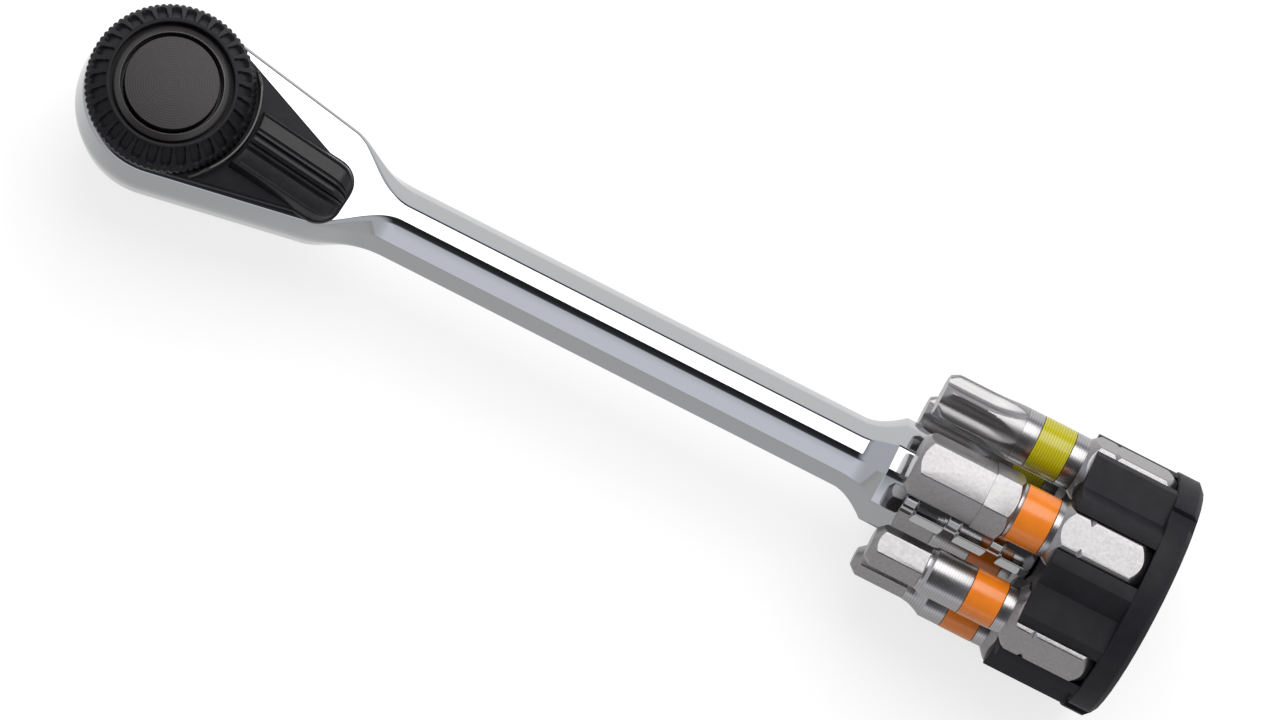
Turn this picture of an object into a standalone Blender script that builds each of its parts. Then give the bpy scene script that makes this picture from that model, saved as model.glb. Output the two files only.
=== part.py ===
"""Micro ratchet: a forged handle with a thumb dial and a reversing lever, and a bit holder on its tail.

The handle lies along X, from the head to the bit holder, and the drive turns about Z.
Each piece is built about the drive axis, at the height of the handle's centre line, and one empty
sets the whole tool down so that the origin is below its middle, on the surface that it lies on.
"""

import math

import bmesh
import bpy
from mathutils import Matrix, Vector

MM = 0.001
ALONG_X = (0, math.pi / 2, 0)

# Fits
RUN_GAP = 0.15 * MM
SEAT_GAP = 0.1 * MM
BITE = 1.0 * MM

# Forged head
HEAD_RADIUS = 9.1 * MM
HEAD_RISE = 5.0 * MM
HEAD_DRAFT = 0.9 * MM
HEAD_EDGE = 0.3 * MM
HEAD_TAPER = math.radians(10.3)
ROOF = 2.0 * MM

# Neck, handle and collar
NECK_START = 18.2 * MM
NECK_LENGTH = 8.0 * MM
HANDLE_LENGTH = 49.3 * MM
HANDLE_RISE = 4.1 * MM
HANDLE_FLAT = 2.0 * MM
HANDLE_BEVEL_WIDTH = 5.74 * MM
HANDLE_BEVEL_RISE = 2.1 * MM
HANDLE_WIDTH = 7.84 * MM
FLARE_LENGTH = 5.0 * MM
COLLAR_LENGTH = 0.7 * MM
COLLAR_RADIUS = 6.0 * MM

# Hexagon tail with its ring grooves
HEX_FLATS = 6.35 * MM
TIP_GAP = 0.6 * MM
TAIL_CHAMFER = 0.5 * MM
GROOVE_COUNT = 5
GROOVE_FIRST = 2.9 * MM
GROOVE_LAST = 3.5 * MM
GROOVE_WIDTH = 1.5 * MM
GROOVE_RADIUS = 2.7 * MM

# Drive gear and its socket
TEETH = 72
TOOTH_DEPTH = 0.34 * MM
TOOTH_FLAT = 0.28
GEAR_RADIUS = 5.6 * MM
GEAR_FACE = 5.2 * MM
JOURNAL_RADIUS = 3.9 * MM
HUB_RADIUS = 5.0 * MM
HUB_REACH = 4.0 * MM
HUB_CHAMFER = 0.25 * MM
SOCKET_DEPTH = 9.5 * MM
SOCKET_CHAMFER = 0.3 * MM
MAGNET_RADIUS = 2.4 * MM
MAGNET_HEIGHT = 1.5 * MM
SQUARE_FLATS = 4.6 * MM

# Pieces that hold the gear in
WASHER_HEIGHT = 0.5 * MM
RING_HEIGHT = 0.7 * MM
RING_DEPTH = 0.6 * MM
RING_WIDTH = 1.0 * MM
RING_OPENING = math.radians(50)

# Reversing pawl
PIVOT_REACH = 7.4 * MM
PIN_RADIUS = 0.75 * MM
PIN_SINK = 0.9 * MM
PAWL_BACK = 1.3 * MM
PAWL_WIDTH = 7.2 * MM
PAWL_HEIGHT = 4.0 * MM
PAWL_FLOOR = -2.2 * MM
PAWL_ROCK = math.radians(5)
PAWL_TOOTHED = 1.2 * MM
PAWL_RELIEF = 0.3 * MM
POCKET_ROOM = 0.4 * MM

# Selector lever
LEVER_THROW = math.radians(6)
LEVER_PLATE = 1.0 * MM
LEVER_HUB = 8.2 * MM
LEVER_FLARE = math.radians(17)
LEVER_REACH = 20.5 * MM
LEVER_CORNER = 2.5 * MM
LIP_WIDTH = 0.3 * MM
LIP_GROOVE = 0.35 * MM
LIP_RISE = 1.5 * MM
GRIP_WIDTH = 7.0 * MM
GRIP_RISE = 2.3 * MM
GRIP_SLOPE = math.radians(4)
GRIP_DRAFT = 0.45 * MM
GRIP_STEP = 0.15 * MM
GRIP_ROLL = 1.7 * MM
RIB_DEPTH = 0.32 * MM

# Half of the grip top, from its centre rib to its flat panel, as shares of the half width and the rib depth
RIB_PROFILE = (
    (0.0, 0.0),
    (0.1, 0.15),
    (0.17, 0.6),
    (0.21, 1.0),
    (0.26, 0.35),
    (0.34, 0.35),
    (0.38, 0.75),
)

# Plunger and spring in the lever's post
POST_START = 9.4 * MM
POST_LENGTH = 3.6 * MM
POST_WIDTH = 2.3 * MM
POST_DROP = 0.9 * MM
PLUNGER_RISE = 0.3 * MM
PLUNGER_RADIUS = 0.6 * MM
PLUNGER_LENGTH = 2.3 * MM
BORE_WALL = 0.5 * MM
SPRING_WIRE = 0.2 * MM
SPRING_TURNS = 3
SPRING_COUNT = 8

# Thumb dial, its screw and its cap
DIAL_RADIUS = 8.5 * MM
DIAL_HEIGHT = 3.2 * MM
DIAL_FLOOR = 1.3 * MM
DIAL_BEVEL = 2.0 * MM
DIAL_BEVEL_DROP = 2.3 * MM
KNURLS = 80
KNURL_DEPTH = 0.18 * MM
SCALLOPS = 32
SCALLOP_DEPTH = 0.3 * MM
SCALLOP_WIDTH = 0.95 * MM
SCALLOP_LENGTH = 1.5 * MM
SCALLOP_REACH = 8.05 * MM
CAP_RADIUS = 5.95 * MM
CAP_HEIGHT = 0.85 * MM
CAP_DISC = 4.65 * MM
CAP_GROOVE = 0.4 * MM
CAP_RING_RISE = 0.1 * MM
SCREW_RADIUS = 1.2 * MM
SCREW_LENGTH = 4.0 * MM
SCREW_HEAD_RADIUS = 3.5 * MM
SCREW_HEAD_HEIGHT = 0.7 * MM
DRIVER_FLATS = 2.5 * MM

# Bit holder
SLOTS = 6
RIM_REACH = 3.55 * MM
LIP_REACH = 2.8 * MM
SLOT_WALL = 1.3 * MM
ARM_LENGTH = 8.9 * MM
FLANGE_RADIUS = 13.1 * MM
FLANGE_THICKNESS = 2.8 * MM
FLANGE_EDGE = 0.6 * MM
NOTCH_COUNT = 3
NOTCH_WIDTH = 2.0 * MM
NOTCH_DEPTH = 0.7 * MM

# Bits and their colour bands
BIT_LENGTH = 25.0 * MM
SHANK_LENGTH = 9.6 * MM
SHANK_CHAMFER = 0.7 * MM
SHOULDER = 0.9 * MM
TIP_CHAMFER = 0.5 * MM
DETENT_BACK = 2.2 * MM
DETENT_WIDTH = 1.4 * MM
DETENT_DEPTH = 0.45 * MM
BAND_SHARE = 0.234
BAND_DEPTH = 0.2 * MM
BAND_PROUD = 0.03 * MM
BAND_GAP = 0.05 * MM
COLLAR_EDGE = 0.25 * MM
RUNOUT_SHARE = 0.156
LOBE_HOLLOW = 0.14
LOBES = 6

# Bit name: tip shape, tip size, neck radius, band colour, then shares of the length in front of the shank
# for the tip's end, the hexagon collar's length and the band's start
BITS = (
    ("hex_6", "hex", 6.0 * MM, 2.98 * MM, "orange", 0.5, 0.195, 0.727),
    ("hex_4", "hex", 4.0 * MM, 2.5 * MM, "orange", 0.357, 0, 0.695),
    ("hex_3", "hex", 3.0 * MM, 2.45 * MM, "orange", 0.357, 0, 0.695),
    ("hex_5", "hex", 5.0 * MM, 2.9 * MM, "orange", 0.429, 0, 0.695),
    ("lobe_25", "lobe", 4.43 * MM, 2.7 * MM, "lime", 0.429, 0, 0.669),
    ("lobe_30", "lobe", 5.5 * MM, 2.85 * MM, "lime", 0.468, 0, 0.669),
)

# Facets and section counts
ROUND_COUNT = 40
SMALL_ROUND_COUNT = 16
FRONT_COUNT = 12
TAPER_COUNT = 3
NECK_COUNT = 12
FLARE_COUNT = 7
CORNER_COUNT = 5
ROLL_COUNT = 4
DOME_COUNT = 3
POCKET_COUNT = 4
LIP_COUNT = 10
LOBE_COUNT = 5
RUNOUT_COUNT = 3
SHARP_ANGLE = math.radians(28)

# Places worked out along the handle
neck_end = NECK_START + NECK_LENGTH
handle_end = neck_end + HANDLE_LENGTH
collar_start = handle_end + FLARE_LENGTH
collar_end = collar_start + COLLAR_LENGTH
tail_length = BIT_LENGTH + TIP_GAP
tail_end = collar_end + tail_length
flange_front = tail_end + SEAT_GAP
flange_end = flange_front + FLANGE_THICKNESS
arm_front = flange_front - ARM_LENGTH
bit_tip = flange_front - SEAT_GAP - BIT_LENGTH
groove_pitch = (tail_length - GROOVE_FIRST - GROOVE_LAST) / (GROOVE_COUNT - 1)
ring_groove_middle = tail_end - GROOVE_LAST

# Heights worked out through the head, from the handle's centre line
roof_under = HEAD_RISE - ROOF
gear_top = roof_under - RUN_GAP
gear_bottom = gear_top - GEAR_FACE
washer_top = gear_bottom - SEAT_GAP
ring_top = washer_top - WASHER_HEIGHT - SEAT_GAP
hub_bottom = -HEAD_RISE - HUB_REACH
socket_top = hub_bottom + SOCKET_DEPTH
lever_bottom = HEAD_RISE + RUN_GAP
plate_top = lever_bottom + LEVER_PLATE
dial_bottom = plate_top + RUN_GAP
floor_top = dial_bottom + DIAL_FLOOR
dial_top = dial_bottom + DIAL_HEIGHT
screw_seat = floor_top + SEAT_GAP
cap_seat = screw_seat + SCREW_HEAD_HEIGHT
cap_bottom = cap_seat + SEAT_GAP
disc_top = cap_bottom + CAP_HEIGHT

# Radii and reaches worked out from their fits
hex_corner = HEX_FLATS / math.sqrt(3)
gear_bore = GEAR_RADIUS + RUN_GAP
journal_hole = JOURNAL_RADIUS + RUN_GAP
ring_groove_radius = gear_bore + RING_DEPTH
pawl_back = PIVOT_REACH + PAWL_BACK
plunger_tip = pawl_back + RUN_GAP
post_end = POST_START + POST_LENGTH
post_low = PLUNGER_RISE - PLUNGER_RADIUS - POST_DROP
lip_inner = DIAL_RADIUS + 2 * RUN_GAP
lip_outer = lip_inner + LIP_WIDTH
grip_inner = lip_outer + LIP_GROOVE
grip_top = plate_top + GRIP_RISE
pitch_radius = FLANGE_RADIUS - RIM_REACH
shank_bore_flats = HEX_FLATS + 2 * SEAT_GAP

# Lengths along a bit, from its tip
shank_start = BIT_LENGTH - SHANK_LENGTH
band_length = BAND_SHARE * shank_start
lobe_runout = RUNOUT_SHARE * shank_start


def clear_scene():
    for obj in list(bpy.data.objects):
        bpy.data.objects.remove(obj)


def new_collection(name):
    collection = bpy.data.collections.new(name)
    bpy.context.scene.collection.children.link(collection)
    return collection


def new_material(name, colour, roughness, metallic):
    material = bpy.data.materials.new(name)
    material.use_nodes = True
    shader = material.node_tree.nodes["Principled BSDF"]
    shader.inputs["Base Color"].default_value = (*colour, 1)
    shader.inputs["Roughness"].default_value = roughness
    shader.inputs["Metallic"].default_value = metallic
    return material


clear_scene()
parts = new_collection("micro_ratchet")
cutters = new_collection("micro_ratchet_cutters")

MATERIALS = {
    "chrome": new_material("polished_chrome", (0.82, 0.83, 0.85), 0.06, 1.0),
    "steel": new_material("hardened_steel", (0.45, 0.45, 0.46), 0.3, 1.0),
    "nickel": new_material("satin_nickel", (0.66, 0.64, 0.62), 0.32, 1.0),
    "spring": new_material("spring_steel", (0.3, 0.3, 0.32), 0.35, 1.0),
    "black": new_material("black_gloss_plastic", (0.018, 0.017, 0.02), 0.3, 0.0),
    "turned_black": new_material("black_turned_disc", (0.04, 0.038, 0.042), 0.38, 0.6),
    "holder": new_material("black_matte_plastic", (0.025, 0.024, 0.028), 0.55, 0.0),
    "rubber": new_material("black_rubber", (0.02, 0.02, 0.02), 0.8, 0.0),
    "orange": new_material("orange_band", (0.87, 0.22, 0.012), 0.28, 0.0),
    "lime": new_material("lime_band", (0.6, 0.62, 0.01), 0.3, 0.0),
}


def new_frame(name, parent=None, location=(0, 0, 0), rotation=(0, 0, 0)):
    frame = bpy.data.objects.new(name, None)
    parts.objects.link(frame)
    frame.parent = parent
    frame.location = location
    frame.rotation_euler = rotation
    return frame


def add_part(name, mesh, material, parent, location=(0, 0, 0), rotation=(0, 0, 0)):
    obj = bpy.data.objects.new(name, mesh)
    parts.objects.link(obj)
    obj.parent = parent
    obj.location = location
    obj.rotation_euler = rotation
    mesh.materials.append(MATERIALS[material])
    return obj


def add_cutter(name, mesh, parent, location=(0, 0, 0), rotation=(0, 0, 0)):
    obj = bpy.data.objects.new(name, mesh)
    cutters.objects.link(obj)
    obj.parent = parent
    obj.location = location
    obj.rotation_euler = rotation
    obj.hide_render = True
    obj.display_type = "WIRE"
    return obj


def combine(target, other, operation):
    modifier = target.modifiers.new(other.name, "BOOLEAN")
    modifier.operation = operation
    modifier.object = other
    modifier.solver = "EXACT"


def mesh_of(name, bm):
    mesh = bpy.data.meshes.new(name)
    bm.to_mesh(mesh)
    bm.free()
    return mesh


def box(name, low, high):
    bm = bmesh.new()
    bmesh.ops.create_cube(bm, size=1)
    low, high = Vector(low), Vector(high)
    size = Matrix.Diagonal((*(high - low), 1))
    bmesh.ops.transform(bm, matrix=Matrix.Translation((low + high) / 2) @ size, verts=bm.verts)
    return mesh_of(name, bm)


def prism(name, sides, radius, low, high, turn=0.0):
    """An upright regular prism with its first corner on +Y, turned about Z."""
    bm = bmesh.new()
    bmesh.ops.create_cone(
        bm, cap_ends=True, segments=sides, radius1=radius, radius2=radius, depth=high - low
    )
    place = Matrix.Translation((0, 0, (low + high) / 2)) @ Matrix.Rotation(turn, 4, "Z")
    bmesh.ops.transform(bm, matrix=place, verts=bm.verts)
    return mesh_of(name, bm)


def hexagon(name, flats, low, high, turn=0.0):
    return prism(name, 6, flats / math.sqrt(3), low, high, turn)


def extruded(name, loops, low, high):
    """Closed outlines in the XY plane, filled and extruded from low to high."""
    curve = bpy.data.curves.new(name, "CURVE")
    curve.dimensions = "2D"
    curve.fill_mode = "BOTH"
    curve.extrude = (high - low) / 2
    for loop in loops:
        spline = curve.splines.new("POLY")
        spline.points.add(len(loop) - 1)
        spline.use_cyclic_u = True
        for point, (x, y) in zip(spline.points, loop):
            point.co = (x, y, 0, 1)
    guide = bpy.data.objects.new(name, curve)
    cutters.objects.link(guide)
    graph = bpy.context.evaluated_depsgraph_get()
    mesh = bpy.data.meshes.new_from_object(guide.evaluated_get(graph))
    bpy.data.objects.remove(guide)
    bpy.data.curves.remove(curve)
    bm = bmesh.new()
    bm.from_mesh(mesh)
    bpy.data.meshes.remove(mesh)
    bmesh.ops.remove_doubles(bm, verts=bm.verts, dist=0.0001 * MM)
    bmesh.ops.translate(bm, vec=(0, 0, (low + high) / 2), verts=bm.verts)
    bmesh.ops.recalc_face_normals(bm, faces=bm.faces)
    return mesh_of(name, bm)


def profile_mesh(name, points, closed=False, turn=0.0):
    """A turned piece's half section, (radius, height) down its outer side, for a Screw modifier."""
    c, s = math.cos(turn), math.sin(turn)
    mesh = bpy.data.meshes.new(name)
    edges = [(i, i + 1) for i in range(len(points) - 1)]
    if closed:
        edges.append((len(points) - 1, 0))
    mesh.from_pydata([(radius * c, radius * s, height) for radius, height in points], edges, [])
    return mesh


def turn_profile(obj, steps):
    modifier = obj.modifiers.new("turned", "SCREW")
    modifier.axis = "Z"
    modifier.steps = steps
    modifier.render_steps = steps
    modifier.use_merge_vertices = True
    modifier.merge_threshold = 0.01 * MM
    return obj


def ring_section(inner, outer, low, high):
    return [(outer, high), (outer, low), (inner, low), (inner, high)]


def loft(name, sections):
    """Skin through closed sections of equal length, with both ends capped."""
    bm = bmesh.new()
    loops = [[bm.verts.new(point) for point in section] for section in sections]
    count = len(loops[0])
    for first, second in zip(loops, loops[1:]):
        for i in range(count):
            j = (i + 1) % count
            bm.faces.new((first[i], first[j], second[j], second[i]))
    bm.faces.new(loops[0])
    bm.faces.new(loops[-1])
    bmesh.ops.recalc_face_normals(bm, faces=bm.faces)
    return mesh_of(name, bm)


def arc(centre, radius, start, end, steps):
    """Points from start to end angle about a centre, both ends included."""
    angles = [start + (end - start) * i / steps for i in range(steps + 1)]
    return [(centre[0] + radius * math.cos(a), centre[1] + radius * math.sin(a)) for a in angles]


def ease(start, end, x):
    t = min(max((x - start) / (end - start), 0.0), 1.0)
    return t * t * (3 - 2 * t)


def mix(a, b, t):
    return a + (b - a) * t


def taper_half_width(x):
    """Half width of the head's straight sides at the parting line."""
    tangent = math.pi / 2 - HEAD_TAPER
    tangent_x = HEAD_RADIUS * math.cos(tangent)
    tangent_y = HEAD_RADIUS * math.sin(tangent)
    return tangent_y - math.tan(HEAD_TAPER) * (x - tangent_x)


def half_section(x, top_half, bevel_half, girth_half, rise, bevel_rise):
    """Half of a body section, from its top centre round to its bottom centre."""
    upper = [(x, 0, rise), (x, top_half, rise), (x, bevel_half, bevel_rise)]
    lower = [(px, py, -pz) for px, py, pz in reversed(upper)]
    return upper + [(x, girth_half, 0)] + lower


def front_section(angle):
    """Half section on the head's round front, where each level has its own radius."""
    insets = (HEAD_DRAFT, HEAD_DRAFT - HEAD_EDGE, 0)
    points = [(math.cos(angle) * (HEAD_RADIUS - n), math.sin(angle) * (HEAD_RADIUS - n)) for n in insets]
    top, bevel, girth = points
    upper = [(top[0], 0, HEAD_RISE), (*top, HEAD_RISE), (*bevel, HEAD_RISE - HEAD_EDGE)]
    lower = [(px, py, -pz) for px, py, pz in reversed(upper)]
    return upper + [(*girth, 0)] + lower


def neck_section(x):
    """Half section of the tapering head and the neck, easing into the handle's ten-sided bar."""
    flow = ease(NECK_START, neck_end, x)
    girth = taper_half_width(x)
    inset = HEAD_DRAFT / math.cos(HEAD_TAPER)
    edge = HEAD_EDGE / math.cos(HEAD_TAPER)
    return half_section(
        x,
        mix(girth - inset, HANDLE_FLAT / 2, flow),
        mix(girth - inset + edge, HANDLE_BEVEL_WIDTH / 2, flow),
        mix(girth, HANDLE_WIDTH / 2, flow),
        mix(HEAD_RISE, HANDLE_RISE, flow),
        mix(HEAD_RISE - HEAD_EDGE, HANDLE_BEVEL_RISE, flow),
    )


def flare_section(x, flow):
    """Half section between the handle's bar and the six-sided collar, which has a corner on top."""
    corner_y = COLLAR_RADIUS * math.sin(math.pi / 3)
    corner_z = COLLAR_RADIUS * math.cos(math.pi / 3)
    on_flat = HANDLE_FLAT / 2
    flat_z = COLLAR_RADIUS - (COLLAR_RADIUS - corner_z) * on_flat / corner_y
    section = half_section(
        x,
        on_flat,
        mix(HANDLE_BEVEL_WIDTH / 2, corner_y, flow),
        mix(HANDLE_WIDTH / 2, corner_y, flow),
        mix(HANDLE_RISE, flat_z, flow),
        mix(HANDLE_BEVEL_RISE, corner_z, flow),
    )
    peak = mix(HANDLE_RISE, COLLAR_RADIUS, flow)
    section[0] = (x, 0, peak)
    section[-1] = (x, 0, -peak)
    return section


def body_sections():
    tangent = math.pi / 2 - HEAD_TAPER
    sections = [front_section(mix(math.pi, tangent, i / FRONT_COUNT)) for i in range(FRONT_COUNT + 1)]
    taper_start = HEAD_RADIUS * math.cos(tangent)
    taper_places = [mix(taper_start, NECK_START, (i + 1) / TAPER_COUNT) for i in range(TAPER_COUNT)]
    neck_places = [mix(NECK_START, neck_end, (i + 1) / NECK_COUNT) for i in range(NECK_COUNT)]
    sections += [neck_section(x) for x in taper_places + neck_places]
    for i in range(FLARE_COUNT + 1):
        along = i / FLARE_COUNT
        sections.append(flare_section(mix(handle_end, collar_start, along), ease(0, 1, along)))
    sections.append(flare_section(collar_end, 1))
    return sections


def body_mesh():
    """The half of the forging at +Y, open at the plane of symmetry."""
    bm = bmesh.new()
    rows = [[bm.verts.new(point) for point in section] for section in body_sections()]
    for first, second in zip(rows, rows[1:]):
        for i in range(len(first) - 1):
            bm.faces.new((first[i], first[i + 1], second[i + 1], second[i]))
    bm.faces.new(rows[-1])
    bmesh.ops.remove_doubles(bm, verts=bm.verts, dist=0.001 * MM)
    bmesh.ops.dissolve_degenerate(bm, edges=bm.edges, dist=0.001 * MM)
    bmesh.ops.recalc_face_normals(bm, faces=bm.faces)
    return mesh_of("ratchet_body", bm)


def tail_profile():
    """The grooved round that trims the hexagon tail, from its free end down to the collar."""
    points = [(0, tail_length), (hex_corner - TAIL_CHAMFER, tail_length)]
    points.append((hex_corner, tail_length - TAIL_CHAMFER))
    for i in reversed(range(GROOVE_COUNT)):
        middle = GROOVE_FIRST + i * groove_pitch
        points.append((hex_corner, middle + GROOVE_WIDTH / 2))
        points.append((GROOVE_RADIUS, middle + GROOVE_WIDTH / 2))
        points.append((GROOVE_RADIUS, middle - GROOVE_WIDTH / 2))
        points.append((hex_corner, middle - GROOVE_WIDTH / 2))
    return points + [(hex_corner, -BITE), (0, -BITE)]


def pocket_half_width(reach):
    """Half width that the lever's post sweeps at a reach from the drive axis."""
    return reach * math.sin(LEVER_THROW) + POST_WIDTH / 2 + RUN_GAP


def make_body(tool):
    body = add_part("ratchet_body", body_mesh(), "chrome", tool)
    mirror = body.modifiers.new("other_half", "MIRROR")
    mirror.use_axis = (False, True, False)
    mirror.merge_threshold = 0.001 * MM

    tail_start = (collar_end, 0, 0)
    tail = add_cutter("tail_bar", profile_mesh("tail_bar", tail_profile()), tool, tail_start, ALONG_X)
    turn_profile(tail, SMALL_ROUND_COUNT)
    stock = hexagon("tail_stock", HEX_FLATS, -2 * BITE, tail_length + BITE, math.pi / 6)
    combine(tail, add_cutter("tail_stock", stock, tool, tail_start, ALONG_X), "INTERSECT")
    combine(body, tail, "UNION")

    ring_low = ring_top - RING_HEIGHT
    bore_section = [
        (0, roof_under),
        (gear_bore, roof_under),
        (gear_bore, ring_top + SEAT_GAP / 2),
        (ring_groove_radius, ring_top + SEAT_GAP / 2),
        (ring_groove_radius, ring_low - SEAT_GAP / 2),
        (gear_bore, ring_low - SEAT_GAP / 2),
        (gear_bore, -HEAD_RISE - BITE),
        (0, -HEAD_RISE - BITE),
    ]
    bore = add_cutter("gear_bore", profile_mesh("gear_bore", bore_section), tool)
    combine(body, turn_profile(bore, ROUND_COUNT), "DIFFERENCE")
    journal = prism("journal_hole", ROUND_COUNT, journal_hole, roof_under - BITE, HEAD_RISE + BITE)
    combine(body, add_cutter("journal_hole", journal, tool), "DIFFERENCE")

    pawl_room = PAWL_WIDTH / 2 + POCKET_ROOM
    pocket_end = pawl_back + POCKET_ROOM
    pocket = box(
        "pawl_pocket",
        (gear_bore / 2, -pawl_room, PAWL_FLOOR),
        (pocket_end, pawl_room, roof_under - SEAT_GAP),
    )
    combine(body, add_cutter("pawl_pocket", pocket, tool), "DIFFERENCE")
    slot_end = post_end + POCKET_ROOM
    slot_half = pocket_half_width(slot_end)
    slot = box(
        "post_slot",
        (POST_START - POCKET_ROOM, -slot_half, post_low - POCKET_ROOM),
        (slot_end, slot_half, HEAD_RISE + BITE),
    )
    combine(body, add_cutter("post_slot", slot, tool), "DIFFERENCE")
    pin_room = PIN_RADIUS + SEAT_GAP
    hole = prism("pin_hole", SMALL_ROUND_COUNT, pin_room, -HEAD_RISE - BITE, roof_under + PIN_SINK)
    combine(body, add_cutter("pin_hole", hole, tool, (PIVOT_REACH, 0, 0)), "DIFFERENCE")

    ring_inner = GROOVE_RADIUS + SEAT_GAP
    ring_outer = HEX_FLATS / 2 + SEAT_GAP / 2
    half = GROOVE_WIDTH / 2 - SEAT_GAP
    section = ring_section(ring_inner, ring_outer, -half, half)
    o_ring = add_part(
        "tail_o_ring",
        profile_mesh("tail_o_ring", section, True),
        "rubber",
        tool,
        (ring_groove_middle, 0, 0),
        ALONG_X,
    )
    turn_profile(o_ring, SMALL_ROUND_COUNT)


def gear_outline(tip, root):
    """Tooth outline about the drive axis: flat tips and roots with sloping flanks."""
    pitch = 2 * math.pi / TEETH
    half = TOOTH_FLAT / 2
    shares = ((tip, -half), (tip, half), (root, 0.5 - half), (root, 0.5 + half))
    points = []
    for tooth in range(TEETH):
        for radius, share in shares:
            angle = (tooth + share) * pitch
            points.append((radius * math.cos(angle), radius * math.sin(angle)))
    return points


def make_drive(tool):
    root = GEAR_RADIUS - TOOTH_DEPTH
    teeth = extruded("drive_gear", [gear_outline(GEAR_RADIUS, root)], gear_bottom, gear_top)
    gear = add_part("drive_gear", teeth, "steel", tool)
    journal_top = dial_bottom - SEAT_GAP
    square_top = floor_top - SEAT_GAP
    shaft_section = [
        (0, journal_top),
        (JOURNAL_RADIUS, journal_top),
        (JOURNAL_RADIUS, gear_top - BITE),
        (HUB_RADIUS, gear_top - BITE),
        (HUB_RADIUS, hub_bottom + HUB_CHAMFER),
        (HUB_RADIUS - HUB_CHAMFER, hub_bottom),
        (0, hub_bottom),
    ]
    shaft = add_cutter("drive_shaft", profile_mesh("drive_shaft", shaft_section), tool)
    combine(gear, turn_profile(shaft, ROUND_COUNT), "UNION")
    square_radius = SQUARE_FLATS / math.sqrt(2)
    square = prism("drive_square", 4, square_radius, journal_top - BITE, square_top, math.pi / 4)
    combine(gear, add_cutter("drive_square", square, tool), "UNION")

    socket = hexagon("bit_socket", shank_bore_flats, hub_bottom - BITE, socket_top)
    combine(gear, add_cutter("bit_socket", socket, tool), "DIFFERENCE")
    mouth_radius = shank_bore_flats / math.sqrt(3) + SOCKET_CHAMFER
    mouth_section = [
        (0, hub_bottom + mouth_radius),
        (mouth_radius + BITE, hub_bottom - BITE),
        (0, hub_bottom - BITE),
    ]
    mouth = add_cutter("socket_mouth", profile_mesh("socket_mouth", mouth_section), tool)
    combine(gear, turn_profile(mouth, ROUND_COUNT), "DIFFERENCE")
    seat = prism(
        "magnet_seat",
        SMALL_ROUND_COUNT,
        MAGNET_RADIUS + SEAT_GAP,
        socket_top - BITE,
        socket_top + MAGNET_HEIGHT + SEAT_GAP,
    )
    combine(gear, add_cutter("magnet_seat", seat, tool), "DIFFERENCE")
    screw_low = screw_seat - SCREW_LENGTH - SEAT_GAP
    hole = prism("screw_hole", SMALL_ROUND_COUNT, SCREW_RADIUS + SEAT_GAP, screw_low, square_top + BITE)
    combine(gear, add_cutter("screw_hole", hole, tool), "DIFFERENCE")

    magnet = prism("bit_magnet", SMALL_ROUND_COUNT, MAGNET_RADIUS, socket_top, socket_top + MAGNET_HEIGHT)
    add_part("bit_magnet", magnet, "nickel", tool)

    washer_inner = HUB_RADIUS + RUN_GAP
    washer = ring_section(washer_inner, gear_bore - SEAT_GAP, washer_top - WASHER_HEIGHT, washer_top)
    washer_obj = add_part("thrust_washer", profile_mesh("thrust_washer", washer, True), "steel", tool)
    turn_profile(washer_obj, ROUND_COUNT)

    ring_outer = ring_groove_radius - SEAT_GAP
    half_gap = RING_OPENING / 2
    outline = arc((0, 0), ring_outer, half_gap, 2 * math.pi - half_gap, ROUND_COUNT)
    outline += arc((0, 0), ring_outer - RING_WIDTH, 2 * math.pi - half_gap, half_gap, ROUND_COUNT)
    ring = extruded("retaining_ring", [outline], ring_top - RING_HEIGHT, ring_top)
    add_part("retaining_ring", ring, "spring", tool)


def make_pawl(tool):
    mid = (PAWL_FLOOR + roof_under) / 2
    low, high = mid - PAWL_HEIGHT / 2, mid + PAWL_HEIGHT / 2
    half = PAWL_WIDTH / 2
    blank = box("pawl", (gear_bore / 2 - PIVOT_REACH, -half, low), (PAWL_BACK, half, high))
    pawl = add_part("pawl", blank, "steel", tool, (PIVOT_REACH, 0, 0), (0, 0, -PAWL_ROCK))
    outline = gear_outline(GEAR_RADIUS + SEAT_GAP, GEAR_RADIUS - TOOTH_DEPTH + SEAT_GAP)
    for side, name in ((1, "pawl_teeth_right"), (-1, "pawl_teeth_left")):
        swing = Matrix.Rotation(side * PAWL_ROCK, 4, "Z")
        centre = swing @ Vector((-PIVOT_REACH, 0, 0))
        teeth = extruded(name, [outline], low - BITE, high + BITE)
        cutter = add_cutter(name, teeth, pawl, centre, (0, 0, side * PAWL_ROCK))
        combine(pawl, cutter, "DIFFERENCE")
    relief_half = half - PAWL_TOOTHED
    relief = box(
        "pawl_relief",
        (gear_bore / 2 - PIVOT_REACH - BITE, -relief_half, low - BITE),
        (GEAR_RADIUS + PAWL_RELIEF - PIVOT_REACH, relief_half, high + BITE),
    )
    combine(pawl, add_cutter("pawl_relief", relief, pawl), "DIFFERENCE")
    hole = prism("pawl_pin_hole", SMALL_ROUND_COUNT, PIN_RADIUS + RUN_GAP, low - BITE, high + BITE)
    combine(pawl, add_cutter("pawl_pin_hole", hole, pawl), "DIFFERENCE")
    pin_top = roof_under + PIN_SINK - SEAT_GAP
    pin = prism("pawl_pin", SMALL_ROUND_COUNT, PIN_RADIUS, SEAT_GAP - HEAD_RISE, pin_top)
    add_part("pawl_pin", pin, "steel", tool, (PIVOT_REACH, 0, 0))


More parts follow.
